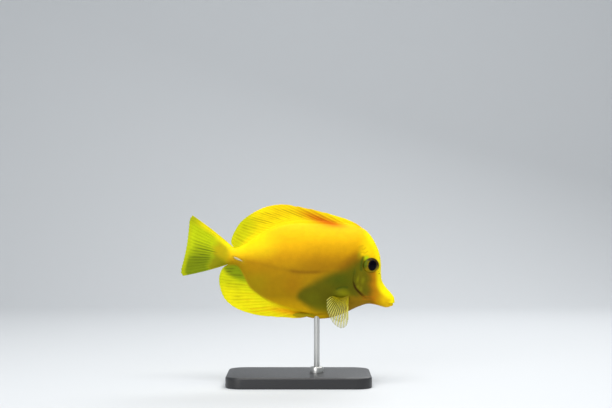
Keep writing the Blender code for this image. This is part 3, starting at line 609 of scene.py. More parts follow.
def skin_rings():
    """The skin's points, ring by ring from the snout, with each one's share from belly to back."""
    shares = level(RING_SPREAD, np.arange(1, SKIN_RINGS + 1) / SKIN_RINGS)
    back, belly = along((*BACK_LINE, BACK_END), shares), along((*BELLY_LINE, BELLY_END), shares)
    tall = np.linalg.norm(back - belly, axis=1)[:, None]
    upwards = (back - belly) / tall
    over = np.maximum(level(BACK_RIDGE, back[:, 0]), 0)[:, None]
    under = np.maximum(level(BELLY_RIDGE, belly[:, 0]), 0)[:, None]
    even = np.linspace(0, 2 * math.pi, SKIN_ARC, endpoint=False)
    turn = even + FLANK_CROWD * np.sin(2 * even)
    up = (1 + np.cos(turn)) / 2
    height = up * (tall + over + under) - under
    flat = belly[:, None] + upwards[:, None] * height[..., None]
    side = np.where(np.abs(np.sin(turn)) < 1e-9, 0, -np.sign(np.sin(turn)))
    y = side * half_width((back + belly)[:, :1] / 2, height, tall, over, under)
    points = np.stack([flat[..., 0], y, flat[..., 1]], -1).reshape(-1, 3)
    return points, np.tile(up, SKIN_RINGS)


def half_width(x, height, tall, over, under):
    """The body's half width at each height, with a soft hollow where it climbs a fin's base."""
    half = np.maximum(level(HALF_GIRTH, x), np.where(x > 0, LEAST_FRONT, LEAST_REAR))
    power = HEAD_POWER + (TRUNK_POWER - HEAD_POWER) * rise(x, HEAD_FROM, TRUNK_FROM)
    level_up = 2 * np.clip(height / tall, 0, 1) - 1
    out = half * np.sqrt(1 - level_up**2) ** power * (1 + SHOULDER * level_up)
    out = out - np.maximum(height - tall, 0) - np.maximum(-height, 0)
    fin = rise(np.where(level_up > 0, over, under), 0.0, 1.0)
    edge = np.minimum(tall + over - height, height + under)
    web = RIDGE_HALF * fin * (0.35 + 0.65 * rise(edge, 0.0, RIDGE_CLOSES))
    soft = RIDGE_SOFT * fin + 0.001
    filled = web + soft * np.logaddexp(0, (out - web) / soft)
    return np.where(fin > 0, filled, out) * (1 - fin * rise(edge, 0.5, 0.0))


def skin_faces(tip, end):
    """Faces between the skin's rings, closed to the points tip and end."""
    faces = [(a, d, c, b) for a, b, c, d in tube_faces(SKIN_RINGS, SKIN_ARC, closed=False)]
    last = (SKIN_RINGS - 1) * SKIN_ARC
    for k in range(SKIN_ARC):
        n = (k + 1) % SKIN_ARC
        faces += [(tip, k, n), (end, last + n, last + k)]
    return faces


def skin_shape():
    """Bare and worked points, faces, and the share from belly to back at each point."""
    points, up = skin_rings()
    tip = np.array([[BACK_LINE[0][0], 0.0, BACK_LINE[0][1]]])
    end = points[-SKIN_ARC:].mean(0)[None]
    points = np.vstack([points, tip, end])
    up = np.concatenate([up, [0.5, 0.5]])
    faces = skin_faces(len(points) - 2, len(points) - 1)
    mesh = bpy.data.meshes.new("skin_shape")
    mesh.from_pydata(points, [], faces)
    normals = np.zeros(len(points) * 3, np.float32)
    mesh.vertex_normals.foreach_get("vector", normals)
    bpy.data.meshes.remove(mesh)
    normals = normals.reshape(-1, 3).astype(float)
    x, y, z = points.T
    flank = rise(np.abs(normals[:, 1]), 0.1, 0.45)
    relief = (flank_relief(x, z) + pit_relief(x, z)) * flank + mouth_relief(x, y, z)
    return points, points + normals * relief[:, None], faces, up


def tail_share(x, z):
    """0 at the tail fin's upper edge and 1 at its lower one."""
    upper = level((CAUDAL_EDGE[0], TAIL_TOP), x)
    lower = level((CAUDAL_EDGE[-1], TAIL_BOTTOM), x)
    return np.clip((upper - z) / (upper - lower), 0, 1)


def tail_roots(t):
    """Where the tail fin's rays start, a little inside the stem, by their share from above."""
    flat = along(TAIL_ROOT_LINE, CAUDAL_ROOT[0] + t * (CAUDAL_ROOT[1] - CAUDAL_ROOT[0]))
    return flat + (flat - along(CAUDAL_EDGE, t)) * CAUDAL_BURIED


def tail_bow(t, s):
    """How far the tail fin's rays bend up or down between their ends."""
    return (1 - 2 * t) * CAUDAL_BOW * np.sin(math.pi * s)


def tail_ray(x, z):
    """Where across the tail fin's rays a point lies, 0 at its upper edge and 1 at its lower one."""
    t = np.linspace(0, 1, 4 * CAUDAL_RAYS + 1)
    root, tip = tail_roots(t), along(CAUDAL_EDGE, t)
    found = np.zeros(len(x))
    for k in np.nonzero(x < TAIL_SKIN_FROM)[0]:
        s = (x[k] - root[:, 0]) / (tip[:, 0] - root[:, 0])
        high = root[:, 1] + s * (tip[:, 1] - root[:, 1]) + tail_bow(t, s)
        found[k] = np.interp(-z[k], -high, t)
    return found


def tail_gaps(t):
    """1 midway between two of the tail fin's rays and 0 on a ray."""
    return 0.5 - 0.5 * np.cos(2 * math.pi * t * (CAUDAL_RAYS - 1))


def tail_streaks(paint, x, t):
    """Dark streaks between the tail fin's rays and the green band behind them."""
    inner = -61.0 - 5.5 * rise(t, 0.52, 0.8) - 2.5 * rise(t, 0.46, 0.3) + 1.6 * np.sin(t * 29.0)
    outer = -76.5 + 3.5 * np.sin(t * 41.0 + 1.0)
    fade = 0.35 + 0.65 * np.sin(t * 33.0 + 0.6) ** 2
    streak = tail_gaps(t) ** 2 * rise(x - inner, 2, -4) * rise(x - outer, -3, 4)
    band = span(t, 0.34, 0.5, 0.7, 0.8) * span(x, -80, -74, -66, -62)
    return coats(
        paint,
        (TAIL_GREEN, 0.3 * band),
        (TAIL_STREAK, 0.85 * streak * fade * span(t, 0.26, 0.48, 0.74, 0.92)),
    )


def tail_paint(x, z):
    """The tail, bright above and olive below, turning lime and green behind."""
    share = (z + 12.5 + 0.35 * (x + 52)) / (16 - 0.7 * (x + 52))
    down = tail_share(x, z)
    wave = 0.9 * np.sin(z * 0.55) + 0.5 * np.sin(z * 1.3)
    soft = 3.0 + 3.0 * rise(z, -6, 6)
    lime = rise((x - wave - 0.1 * z + 62.0) / soft, 1.0, -1.0) * rise(down, 0.0, 0.16)
    return coats(
        plain(TAIL_GOLD, len(x)),
        (TAIL_BRIGHT, rise(share, 0.55, 0.95)),
        (TAIL_OLIVE, rise(share, 0.3, 0.02)),
        (TAIL_BRIGHT, rise(down, 0.22, 0.06)),
        (TAIL_LIME, lime),
        (TAIL_GREEN, 0.8 * rise(down, 0.42, 0.8) * lime),
    )


def flash(x, z, spread=1.0):
    """How much of the orange flash at the dorsal fin's front a point has."""
    off, share, _ = line_at(x, z, FLASH_LINE)
    wide = spread * (1.5 + 1.3 * rise(share, 0.0, 0.5))
    return hump(off, wide) * span(share, -0.05, 0.36, 0.5, 1.0)


def anal_share(x, z):
    """0 on the flank and 1 on the anal fin, with a soft border between them."""
    below = level(BELLY_LINE, x) - z - level(ANAL_BORDER, x)
    return rise(below, -1.8, 1.8) * rise(x, 10, 0)


def green_wedge(x, z):
    """1 in the green corner of the anal fin below the tail's stem and 0 outside it."""
    wedge = np.hypot((x + 44.0) / 13.5, (z + 14.6 + 0.3 * (x + 44.0)) / 6.8)
    return rise(wedge + 0.05 * np.sin(z * 4.0), 1.2, 0.5)


def anal_ground(x, z):
    """The anal fin's lemon and lime with the green wedge at its rear and an orange glow in front."""
    return coats(
        plain(ANAL_LEMON, len(x)),
        (TAIL_LIME, 0.6 * rise(z, -32, -22)),
        (ANAL_GREEN, 0.95 * green_wedge(x, z)),
        (ANAL_ORANGE, 0.6 * stroke(x, z, ANAL_GLOW, 2.6, (1.0, 0.3))),
    )


def flank_paint(x, z):
    """Yellow back, amber flank and golden belly, paler towards the tail's stem, with painted shade by
    height.
    """
    high = upright(x, z)
    # Painted shade in a band over the front flank, darker lower down, above the olive shadow's edge
    shade_band = (0.25 + 0.4 * rise(high, 8, -2)) * span(high, -9, -3, 10, 19)
    paint = coats(
        # Colours by height in the held pose, here and in the next three layers, are partly painted
        # shade
        stops(high, FLANK_STOPS),
        (REAR_OCHRE, 0.8 * rise(x, -14, -28) * rise(high, -4, -14)),
        (STEM_YELLOW, 0.85 * rise(x, -24, -44) * rise(high, -1, 8)),
        (STEM_AMBER, 0.6 * rise(x, -30, -48) * rise(high, 4, -2)),
        *spots(x, z, FLANK_SPOTS),
        (BAND_SHADE_AMBER, shade_band * rise(x, -8, 14)),
    )
    paint = blend(paint, anal_ground(x, z), anal_share(x, z))
    above = z - level(BACK_LINE, x)
    paint = coats(
        paint,
        (DORSAL_YELLOW, rise(above, -2.0, 3.0) * span(x, -47, -42, 30, 40)),
        (FIN_AMBER, 0.7 * flash(x, z, 2.0)),
        (FIN_ORANGE, 0.9 * flash(x, z)),
    )
    return blend(paint, tail_paint(x, z), rise(x, -47, -54))


def patch_paint(paint, x, z):
    """The olive shadow behind and below the gill cover, and the brown nape above it."""
    soft = 2.6 + 1.8 * rise(x, 4, 20)
    share = rise(beside(x, z, SHADOW_PATCH_EDGE), soft, -soft)
    return coats(
        paint,
        (NAPE_BROWN, 0.9 * rise(z - x, -19.0, -29.0) * span(x, 22, 35, 44, 50)),
        (SHADOW_PATCH_OLIVE, 0.95 * share),
        *spots(x, z, SHADOW_PATCH_SPOTS, share),
    )


def head_paint(paint, x, z, up):
    """Olive cheek, painted amber shade on the snout's sides and a lemon rim down the forehead."""
    rim = line_at(x, z, BACK_LINE)[0]
    wide = 3.4 + 2.6 * rise(z, 0, -10)
    ahead = x + 0.19 * z + 0.6 * np.sin(z * 0.8)
    throat = rise(z + 0.1 * (x - 46), -14.8, -18.4) * span(x, 34, 43, 50, 60)
    return coats(
        paint,
        (HEAD_YELLOW, rise(x, 38, 47) * rise(z, 9, 17)),
        (CHEEK_OLIVE, rise(x, 41, 46) * rise(z, 12, 4)),
        (JAW_AMBER, 0.85 * rise(z + 0.5 * (x - 48), -10.5, -15.0) * rise(x, 44, 50)),
        # Painted shade on the head's sides below and ahead of the eye
        (UNDER_EYE_SHADE, rise(ahead, 48.6, 54.6) * rise(z, 14, 6)),
        (SNOUT_SIDE_SHADE, rise(ahead, 52.0, 57.0) * rise(z, 14, 2)),
        (SNOUT_GOLD, rise(x, 58.0, 66.0)),
        (LEMON, rise(rim, wide + 2.0, wide - 2.2) * rise(x, 40, 48) * rise(up, 0.4, 0.7)),
        (LEMON, rise(x, 68.5, 72.0) * rise(z, -18.0, -16.6)),
        (THROAT_BROWN, 0.9 * throat),
        (JAW_AMBER, 0.35 * rise(z, -16.5, -19.5) * span(x, 55, 62, 66, 71)),
    )


def eye_marks(paint, x, z):
    """Socket shade, a painted green shadow behind the eye and a painted lime highlight above it."""
    away, dx, dz = from_eye(x, z), x - EYE_AT[0], z - EYE_AT[1]
    above = 0.1 + 0.75 * rise(dz + 0.6 * dx, 0.0, 5.0)
    above = np.maximum(above, 0.6 * rise(dx, -3.0, -5.0) * rise(dz, 2.0, -1.0))
    return coats(
        paint,
        *spots(x, z, EYE_SPOTS),
        (SHADE_GREEN, 0.75 * stroke(x, z, EYE_SHADOW_LINE, 1.0)),
        (SOCKET_BROWN, above * rise(away, 1.2, 0.0)),
        (SOCKET_BROWN, rise(away, 0.0, -0.4)),
    )


def cheek_marks(paint, x, z):
    """Lighter spots on the cheek, golden strokes above it and orange stripes below it."""
    gold_strokes = [
        (NAPE_GOLD, 0.55 * stroke(x, z, line, 0.5, (0.0, 0.3))) for line in NAPE_STROKES
    ]
    stripes = [(STRIPE_ORANGE, 0.35 * stroke(x, z, line, 0.7)) for line in CHEEK_STRIPES]
    return coats(paint, *spots(x, z, CHEEK_SPOTS), *gold_strokes, *stripes)


def body_marks(paint, x, z):
    """Dusky line, fin lobe, and painted shade in the crease, pelvic fold, gill slit, nostrils and
    grooves.
    """
    off, share, _ = line_at(x, z, DUSKY_LINE)
    strong = 0.14 + 0.46 * span(share, 0.5, 0.6, 0.84, 1.0)
    low = rise(z, -4, -10)
    reach = rise(z, SLIT_TOP + 2, SLIT_TOP - 8) * rise(x, SLIT_FRONT + 2, SLIT_FRONT - 3)
    slit = hump(beside(x, z, GILL_LINE) + 0.35, 0.5 + 0.35 * low) * reach
    # Painted shade in the nostrils
    pit_shade = [
        (RECESS_SHADE, 0.7 * rise(np.hypot(x - nx, z - nz), radius * 1.05, radius * 0.5))
        for nx, nz, radius in NOSTRILS
    ]
    return coats(
        paint,
        (DUSKY, strong * hump(off, 1.7) * rise(share, 0.0, 0.1)),
        (DUSKY, 0.3 * strong * hump(off, 0.6)),
        *spots(x, z, LOBE_SPOTS),
        # Painted shade in the crease over the pectoral fin's lobe
        (SHADE_GREEN, 0.55 * stroke(x, z, LOBE_CREASE, 0.9, (0.0, 0.3))),
        # Painted shade along the pelvic fold
        (DUSKY, 0.45 * stroke(x, z, PELVIC_FOLD, 0.7, (1.0, 0.7))),
        # Painted shade in the gill slit, stronger lower down
        (GILL_SLIT_SHADE, (0.12 + 0.68 * low) * slit),
        *spots(x, z, GILL_TOP_SHADE_SPOTS),
        *pit_shade,
        # Painted shade in the grooves round the blades
        (GROOVE_TAN, 0.6 * rise(line_at(x, z, GROOVE_LINE)[0], 1.9, 0.6)),
    )


def skin_paint(points, up):
    """All of the skin's colours, ending with a brown line of painted shade between the lips."""
    x, y, z = points.T
    paint = patch_paint(flank_paint(x, z), x, z)
    paint = tail_streaks(paint, x, tail_ray(x, z))
    paint = head_paint(paint, x, z, up)
    paint = body_marks(cheek_marks(eye_marks(paint, x, z), x, z), x, z)
    back = MOUTH_CORNER[0]
    # Painted shade in the slit between the lips
    lips = hump(from_mouth(x, y, z), LIP_SLIT_WIDE) * rise(x, back - 0.2, back + 0.8)
    return coats(paint, (RECESS_SHADE, 0.5 * lips))


def add_node(made, kind, **inputs):
    """A node in a material's tree, with its named inputs linked or set."""
    node = made.node_tree.nodes.new(kind)
    for key, value in inputs.items():
        socket = node.inputs[key]
        if isinstance(value, bpy.types.NodeSocket):
            made.node_tree.links.new(value, socket)
        else:
            socket.default_value = value
    return node


def ranged(made, value, low, high, start=0.0, end=1.0):
    """A value that runs from start to end, turned into one that runs from low to high."""
    limits = {"From Min": start, "From Max": end, "To Min": low, "To Max": high}
    return add_node(made, "ShaderNodeMapRange", Value=value, **limits).outputs["Result"]


def noise(made, scale, detail, stretch=(1, 1, 1)):
    """Soft noise over an object's own place, finer along an axis that is stretched."""
    place = add_node(made, "ShaderNodeTexCoord").outputs["Object"]
    place = add_node(made, "ShaderNodeMapping", Vector=place, Scale=stretch).outputs["Vector"]
    return add_node(made, "ShaderNodeTexNoise", Vector=place, Scale=scale, Detail=detail).outputs["Fac"]


def sockets(made):
    """The inputs of a material's shader."""
    return made.node_tree.nodes["Principled BSDF"].inputs


def blank(name, roughness, colour=(0.8, 0.8, 0.8), metallic=0.0, specular=0.5, alpha=1.0):
    """A material that is the same all over."""
    made = bpy.data.materials.new(name)
    made.use_nodes = True
    sockets(made)["Base Color"].default_value = (*colour, 1)
    sockets(made)["Roughness"].default_value = roughness
    sockets(made)["Metallic"].default_value = metallic
    sockets(made)["Specular IOR Level"].default_value = specular
    sockets(made)["Alpha"].default_value = alpha
    return made


def painted(name, roughness, scale, mottle, bump=0.0, specular=0.5, alpha=1.0):
    """A material that shows the points' own paint, faintly mottled, over a fine grain."""
    made = blank(name, roughness, specular=specular, alpha=alpha)
    link = made.node_tree.links.new
    paint = add_node(made, "ShaderNodeAttribute")
    paint.attribute_name = "paint"
    shade = ranged(made, noise(made, scale / 6, 4.0), 1 - mottle, 1 + mottle, 0.3, 0.7)
    tint = add_node(made, "ShaderNodeHueSaturation", Value=shade, Color=paint.outputs["Color"])
    link(tint.outputs["Color"], sockets(made)["Base Color"])
    place = add_node(made, "ShaderNodeTexCoord").outputs["Object"]
    grain = add_node(made, "ShaderNodeTexVoronoi", Vector=place, Scale=scale).outputs["Distance"]
    raised = add_node(made, "ShaderNodeBump", Height=grain, Strength=bump, Distance=GRAIN_DEEP)
    link(raised.outputs["Normal"], sockets(made)["Normal"])
    return made


def roughen(made, low, high, scale, detail, stretch=(1, 1, 1)):
    """Lets a material's roughness wander between two values."""
    rough = ranged(made, noise(made, scale, detail, stretch), low, high)
    made.node_tree.links.new(rough, sockets(made)["Roughness"])


def add_skin():
    """The whole body's skin, and functions for its half thickness before and after the relief."""
    bare, points, faces, up = skin_shape()
    look = painted("skin_look", 0.5, scale=1500.0, mottle=0.05, bump=0.25, specular=0.08)
    nodes = ["head", "trunk", "tail_stem"]
    add_piece("skin", points, faces, look, nodes, skin_paint(points, up))
    return flank_finder(bare, faces), flank_finder(points, faces)


def flank_finder(points, faces):
    """A function that gives the half thickness of a body at each (x, z) of a list."""
    shape = BVHTree.FromPolygons(points.tolist(), faces)

    def flank(places):
        hits = [shape.ray_cast(Vector((x, -60, z)), Vector((0, 1, 0)))[0] for x, z in places]
        return np.array([-hit.y if hit and hit.y < 0 else 0.0 for hit in hits])

    return flank


def ridge_profile(t, s, rays, spines):
    """How much of a ray's ridge a point is, across t and along s. Soft rays fork as they go out."""
    at = t * (rays - 1)
    nearest = np.round(at)
    off = at - nearest
    spine = nearest < spines
    fork = 0.15 * rise(s, 0.3, 0.75) * ~spine
    twig = 0.055 * rise(s, 0.6, 0.95) * ~spine
    width = np.where(spine, 0.17, 0.12 - 0.045 * rise(s, 0.3, 0.6))
    found = np.zeros_like(s)
    for side in (-1, 1):
        for sub in (-1, 1):
            found = np.maximum(found, hump(off - side * fork - sub * twig, width))
    return found, spine


def fin_grid(roots, tips, rays, spines, per_ray, rows, bend=None):
    """A fin's middle points on a fine grid, with their coordinates, ridges and spines.

    roots and tips are functions of the share t across the rays, and bend of t and the share s
    along them.
    """
    across = np.linspace(0, 1, (rays - 1) * per_ray + 1)
    way = np.linspace(0, 1, rows + 1)
    t, s = np.repeat(across, rows + 1), np.tile(way, len(across))
    tip_ridge, tip_spine = ridge_profile(across, np.ones_like(across), rays, spines)
    short = np.where(tip_spine, 0.04, 0.006) * (1 - tip_ridge)
    wobble = 0.003 * np.sin(across * 61.0) + 0.001 * np.sin(across * 149.0 + 1.0)
    ends = 1 - short - np.abs(wobble)
    a, b = roots(across), tips(across)
    reach = (way[None] * ends[:, None])[..., None]
    middle = a[:, None] + (b - a)[:, None] * reach
    if bend is not None:
        middle = middle + bend(across[:, None], way[None])
    middle = middle.reshape(-1, 3)
    ridge, spine = ridge_profile(t, s, rays, spines)
    return Grid(middle, middle[:, 0], middle[:, 2], t, s, ridge, spine, len(across), rows + 1)


def plate(grid, half, out):
    """A closed plate of varying thickness about a grid of middle points."""
    near, far = grid.middle - out * half[:, None], grid.middle + out * half[:, None]
    wide, high = grid.wide, grid.high
    i, j = np.meshgrid(np.arange(wide - 1), np.arange(high - 1), indexing="ij")
    a = (i * high + j).ravel()
    quads = np.stack([a, a + high, a + high + 1, a + 1], -1)
    back = wide * high
    faces = quads.tolist() + (quads[:, ::-1] + back).tolist()
    rim = [k * high for k in range(wide)]
    rim += [(wide - 1) * high + k for k in range(1, high)]
    rim += [k * high + high - 1 for k in range(wide - 2, -1, -1)]
    rim += list(range(high - 2, 0, -1))
    faces += [(p, back + p, back + q, q) for p, q in zip(rim, rim[1:] + rim[:1])]
    return np.vstack([near, far]), faces


def fin_thickness(grid, root_half, reach=0.3):
    """A fin's half thickness, thin between its ridges and thicker towards its root."""
    crest = np.where(grid.spine, SPINE_HALF, RAY_HALF)
    half = (WEB_HALF + (crest - WEB_HALF) * grid.ridge) * (1 - 0.55 * grid.s)
    return np.maximum(half, root_half * rise(grid.s, reach, 0.0))


def add_fin(node, ending, grid, half, paint, look, out=(0.0, 1.0, 0.0)):
    """A fin as one closed plate, painted alike on both faces."""
    points, faces = plate(grid, half, np.array(out))
    add_piece(node + ending, points, faces, look, [node], np.vstack([paint, paint]))


def root_and_tip(line, between, edge, reach, wave):
    """Functions for the roots and tips of a fin that stands on the mid-plane."""

    def roots(t):
        flat = along(line, between[0] + t * (between[1] - between[0]))
        slope = np.gradient(flat, axis=0)
        across = unit(np.stack([slope[:, 1], -slope[:, 0]], -1))
        across *= np.sign((across * (flat - along(edge, level(reach, t)))).sum())
        return np.insert(flat + across * ROOT_BURIED, 1, 0.0, axis=1)

    def tips(t):
        return np.insert(along(edge, level(reach, t)), 1, wave * np.sin(t * math.pi * 3.0), axis=1)

    return roots, tips


def gap_streaks(grid, rays, seed, first=0.3):
    """Painted shade in the gaps between the rays, as dark streaks each with a strength and a reach of
    its own.
    """
    at = grid.t * (rays - 1)
    gap = np.floor(at)
    strong = 0.25 + 0.75 * np.sin(gap * 2.4 + seed) ** 2
    start = first + 0.22 * np.sin(gap * 4.1 + seed)
    end = 0.92 + 0.06 * np.sin(gap * 1.7 + seed)
    return hump(at - gap - 0.5, 0.24) * strong * span(grid.s, start, start + 0.25, end - 0.14, end)


def dorsal_paint(grid):
    """Yellow with shade between the rays, lime behind and the orange flash in front."""
    x, z, s, ridge = grid.x, grid.z, grid.s, grid.ridge
    rays = DORSAL_SPINES + DORSAL_RAYS
    rear = rise(x, -28, -44) * rise(z, 34, 20)
    shade = gap_streaks(grid, rays, 0.4) * rise(s, 0.99, 0.94)
    orange = flash(x, z)
    paint = coats(
        plain(DORSAL_YELLOW, len(x)),
        (FIN_AMBER, 0.45 * rise(s, 0.45, 0.7) * span(x, -36, -20, 4, 16)),
        (DORSAL_REAR, 0.85 * rear),
        (FIN_SHADE, (0.62 - 0.2 * rear) * shade),
        (DORSAL_YELLOW, 0.5 * ridge * rise(s, 0.4, 0.7) * rise(rear, 0.4, 0.0)),
        (LEMON, 0.8 * rise(x, 4, 18) * rise(s, 0.6, 0.85)),
        (FIN_AMBER, 0.7 * flash(x, z, 2.0)),
        (FIN_ORANGE, orange * (0.95 - 0.3 * ridge)),
        (FLASH_DARK, 0.7 * orange * gap_streaks(grid, rays, 2.0, 0.1)),
        (RIM_YELLOW, 0.5 * rise(s, 0.93, 0.98) * rise(grid.t, 0.4, 0.6)),
    )
    share = rise(line_at(x, z, BACK_LINE)[0], 5.5, 2.2) * rise(x, -46, -38)
    return blend(paint, flank_paint(x, z), share)


def anal_paint(grid):
    """The anal fin's ground with shade between the rays, running into the flank's colours."""
    x, z, s = grid.x, grid.z, grid.s
    shade = gap_streaks(grid, ANAL_SPINES + ANAL_RAYS, 1.7)
    front = rise(x, -40, -26)
    paint = coats(
        anal_ground(x, z),
        (FIN_SHADE, 0.4 * shade * (1 - front)),
        (FIN_AMBER, 0.75 * shade * front),
        (ANAL_DEEP, 0.75 * shade * green_wedge(x, z)),
        (RIM_YELLOW, 0.4 * rise(s, 0.92, 0.98) * rise(grid.t, 0.3, 0.5)),
    )
    return blend(flank_paint(x, z), paint, anal_share(x, z))


def caudal_paint(grid):
    """The tail's colours with streaks between the rays and a yellow rim."""
    x, z, t, s = grid.x, grid.z, grid.t, grid.s
    paint = tail_streaks(coats(tail_paint(x, z), *spots(x, z, TAIL_SPOTS)), x, t)
    faint = (0.08 + 0.17 * rise(t, 0.2, 0.4)) * tail_gaps(t)
    return coats(
        paint,
        (TAIL_GREEN, faint * span(s, 0.4, 0.55, 0.8, 0.9)),
        (RIM_YELLOW, 0.8 * rise(s, 0.88, 0.95) * rise(t, 0.04, 0.16)),
    )


def add_median_fin(node, form, spines, rays, paint, look):
    """The dorsal or the anal fin, upright on the mid-plane."""
    grid = fin_grid(*root_and_tip(*form), spines + rays, spines, per_ray=10, rows=56)
    half = fin_thickness(grid, MEDIAN_ROOT_HALF, 0.35)
    add_fin(node, "_fine", grid, half, paint(grid), look)


def add_tail_fin(look):
    """The tail fin, gently bowed and waved."""

    def roots(t):
        return np.insert(tail_roots(t), 1, 0.0, axis=1)

    def tips(t):
        return np.insert(along(CAUDAL_EDGE, t), 1, 0.0, axis=1)

    def bow(t, s):
        upwards = tail_bow(t, s)
        sideways = CAUDAL_WAVE * np.sin(t * math.pi * 2) * s**3
        return np.stack([np.zeros_like(upwards), sideways, upwards], -1)

    grid = fin_grid(roots, tips, CAUDAL_RAYS, 0, per_ray=14, rows=64, bend=bow)
    root_half = 0.25 + 0.9 * np.sin(math.pi * np.clip(grid.t, 0, 1)) ** 1.3
    half = fin_thickness(grid, root_half, 0.4)
    add_fin("caudal_fin", "_fine", grid, half, caudal_paint(grid), look)


def pectoral_ends(flank, side):
    """Functions for the roots and tips of a pectoral fin, which stands off the flank."""

    def roots(t):
        flat = along(PECTORAL_ROOT, t)
        inside = flat + (flat - along(PECTORAL_EDGE, t)) * PECTORAL_BURIED
        return np.insert(inside, 1, side * (flank(flat) - PECTORAL_SUNK), axis=1)

    def tips(t):
        y = flank(along(PECTORAL_ROOT, t)) + level(PECTORAL_OUT, t)
        return np.insert(along(PECTORAL_EDGE, t), 1, side * y, axis=1)

    return roots, tips


def add_pectoral(flank, side, word, web_look, ray_look):
    """A clear web with opaque rays laid over it."""
    roots, tips = pectoral_ends(flank, side)
    ends = np.array([0.0, 0.5, 1.0])
    a, b = roots(ends), tips(ends)
    out = unit(np.cross(b[1] - a[1], a[2] - a[0]))
    outward = out * np.sign(out[1]) * side

    def bow(_, s):
        return outward * (PECTORAL_BOW * np.sin(math.pi * s))[..., None]

    node = "pectoral_fin_" + word
    grid = fin_grid(roots, tips, PECTORAL_RAYS, 1, per_ray=8, rows=40, bend=bow)
    half = np.full(len(grid.t), PECTORAL_WEB_HALF)
    add_fin(node, "_web", grid, half, plain(WEB_PALE, len(grid.t)), web_look, out)
    tubes = [
        ray_tube(roots, tips, bow, share, fork)
        for share in np.arange(PECTORAL_RAYS) / (PECTORAL_RAYS - 1)
        for fork in (-1, 1)
    ]
    starts = range(0, len(tubes) * TUBE_ROWS * TUBE_SIDES, TUBE_ROWS * TUBE_SIDES)
    faces = [face for start in starts for face in tube_faces(TUBE_ROWS, TUBE_SIDES, start)]
    tints = stops(np.linspace(0, 1, TUBE_ROWS), RAY_STOPS)
    paint = np.tile(np.repeat(tints, TUBE_SIDES, axis=0), (len(tubes), 1))
    add_piece(node + "_rays", np.vstack(tubes), faces, ray_look, [node], paint)


def ray_tube(roots, tips, bow, share, fork):
    """One branch of a ray: the rings of a tapering round rod from the fin's root to its edge."""
    way = np.linspace(0, 1, TUBE_ROWS)
    across = np.clip(share + fork * RAY_FORK * rise(way, 0.55, 1.0), 0, 1)
    a, b = roots(across), tips(across)
    line = a + (b - a) * (way * RAY_REACH)[:, None] + bow(across, way)
    thick = (FIRST_RAY if share == 0 else OTHER_RAYS) * (1 - 0.65 * way) + 0.02
    thick = thick + 0.25 * rise(way, 0.14, 0.0)
    run = unit(np.gradient(line, axis=0))
    side = unit(np.cross(run, [0.0, 0.0, 1.0]))
    other = np.cross(run, side)
    turn = np.linspace(0, 2 * math.pi, TUBE_SIDES, endpoint=False)
    ring = np.cos(turn)[:, None] * side[:, None] + np.sin(turn)[:, None] * other[:, None]
    return (line[:, None] + ring * thick[:, None, None]).reshape(-1, 3)


def add_pelvic(flank, side, word, look):
    """A folded fin laid back along the belly."""

    def roots(t):
        flat = along(PELVIC_ROOT, t)
        return np.insert(flat + (1.0, 0.6), 1, side * (flank(flat) - PELVIC_SUNK), axis=1)

    def tips(t):
        return np.insert(along(PELVIC_EDGE, t), 1, side * PELVIC_SPREAD, axis=1)

    grid = fin_grid(roots, tips, PELVIC_RAYS, 1, per_ray=10, rows=36)
    shade = 0.5 * gap_streaks(grid, PELVIC_RAYS, 0.9, 0.2)
    paint = coats(plain(PELVIC_OLIVE, len(grid.t)), (FIN_SHADE, shade))
    half = fin_thickness(grid, PELVIC_ROOT_HALF)
    add_fin("pelvic_fin_" + word, "_fine", grid, half, paint, look)


def ball(centre, radii, segments, rings):
    """Points and faces of an ellipsoid whose pole looks outwards, swung towards the snout."""
    work = bmesh.new()
    bmesh.ops.create_uvsphere(work, u_segments=segments, v_segments=rings, radius=1.0)
    side = math.copysign(1.0, centre[1])
    place = (
        Matrix.Translation(centre)
        @ Matrix.Rotation(-side * EYE_LOOK, 4, "Z")
        @ Matrix.Diagonal((*radii, 1.0))
        @ Matrix.Rotation(side * math.pi / 2, 4, "X")
    )
    bmesh.ops.transform(work, matrix=place, verts=work.verts)
    points = np.array([tuple(v.co) for v in work.verts])
    faces = [tuple(v.index for v in f.verts) for f in work.faces]
    work.free()
    return points, faces


def eye_paint(points, centre):
    """An olive iris, gold below, round the pupil, with painted shadow of the upper rim in dark brown
    above and ahead.
    """
    x, z = points[:, 0] - centre[0], points[:, 2] - centre[2]
    out = np.hypot((x - RING_AHEAD) / PUPIL_RADII[0], (z - PUPIL_RAISE) / PUPIL_RADII[1])
    # Painted shadow of the socket's upper rim over the iris
    dark = rise(z + 0.35 * x, 1.4, 3.6)
    return coats(
        plain(IRIS_OLIVE, len(x)),
        (IRIS_GOLD, rise(z, 0.5, -3.5)),
        (IRIS_GREEN, rise(x, -1.8, -4.2) * rise(z, -4.0, -1.0)),
        (IRIS_BROWN, dark),
        (IRIS_GOLD, 0.5 * hump(out - 1.14, 0.08) * (1 - dark)),
        (IRIS_BROWN, 0.8 * rise(out, 1.1, 1.0)),
    )


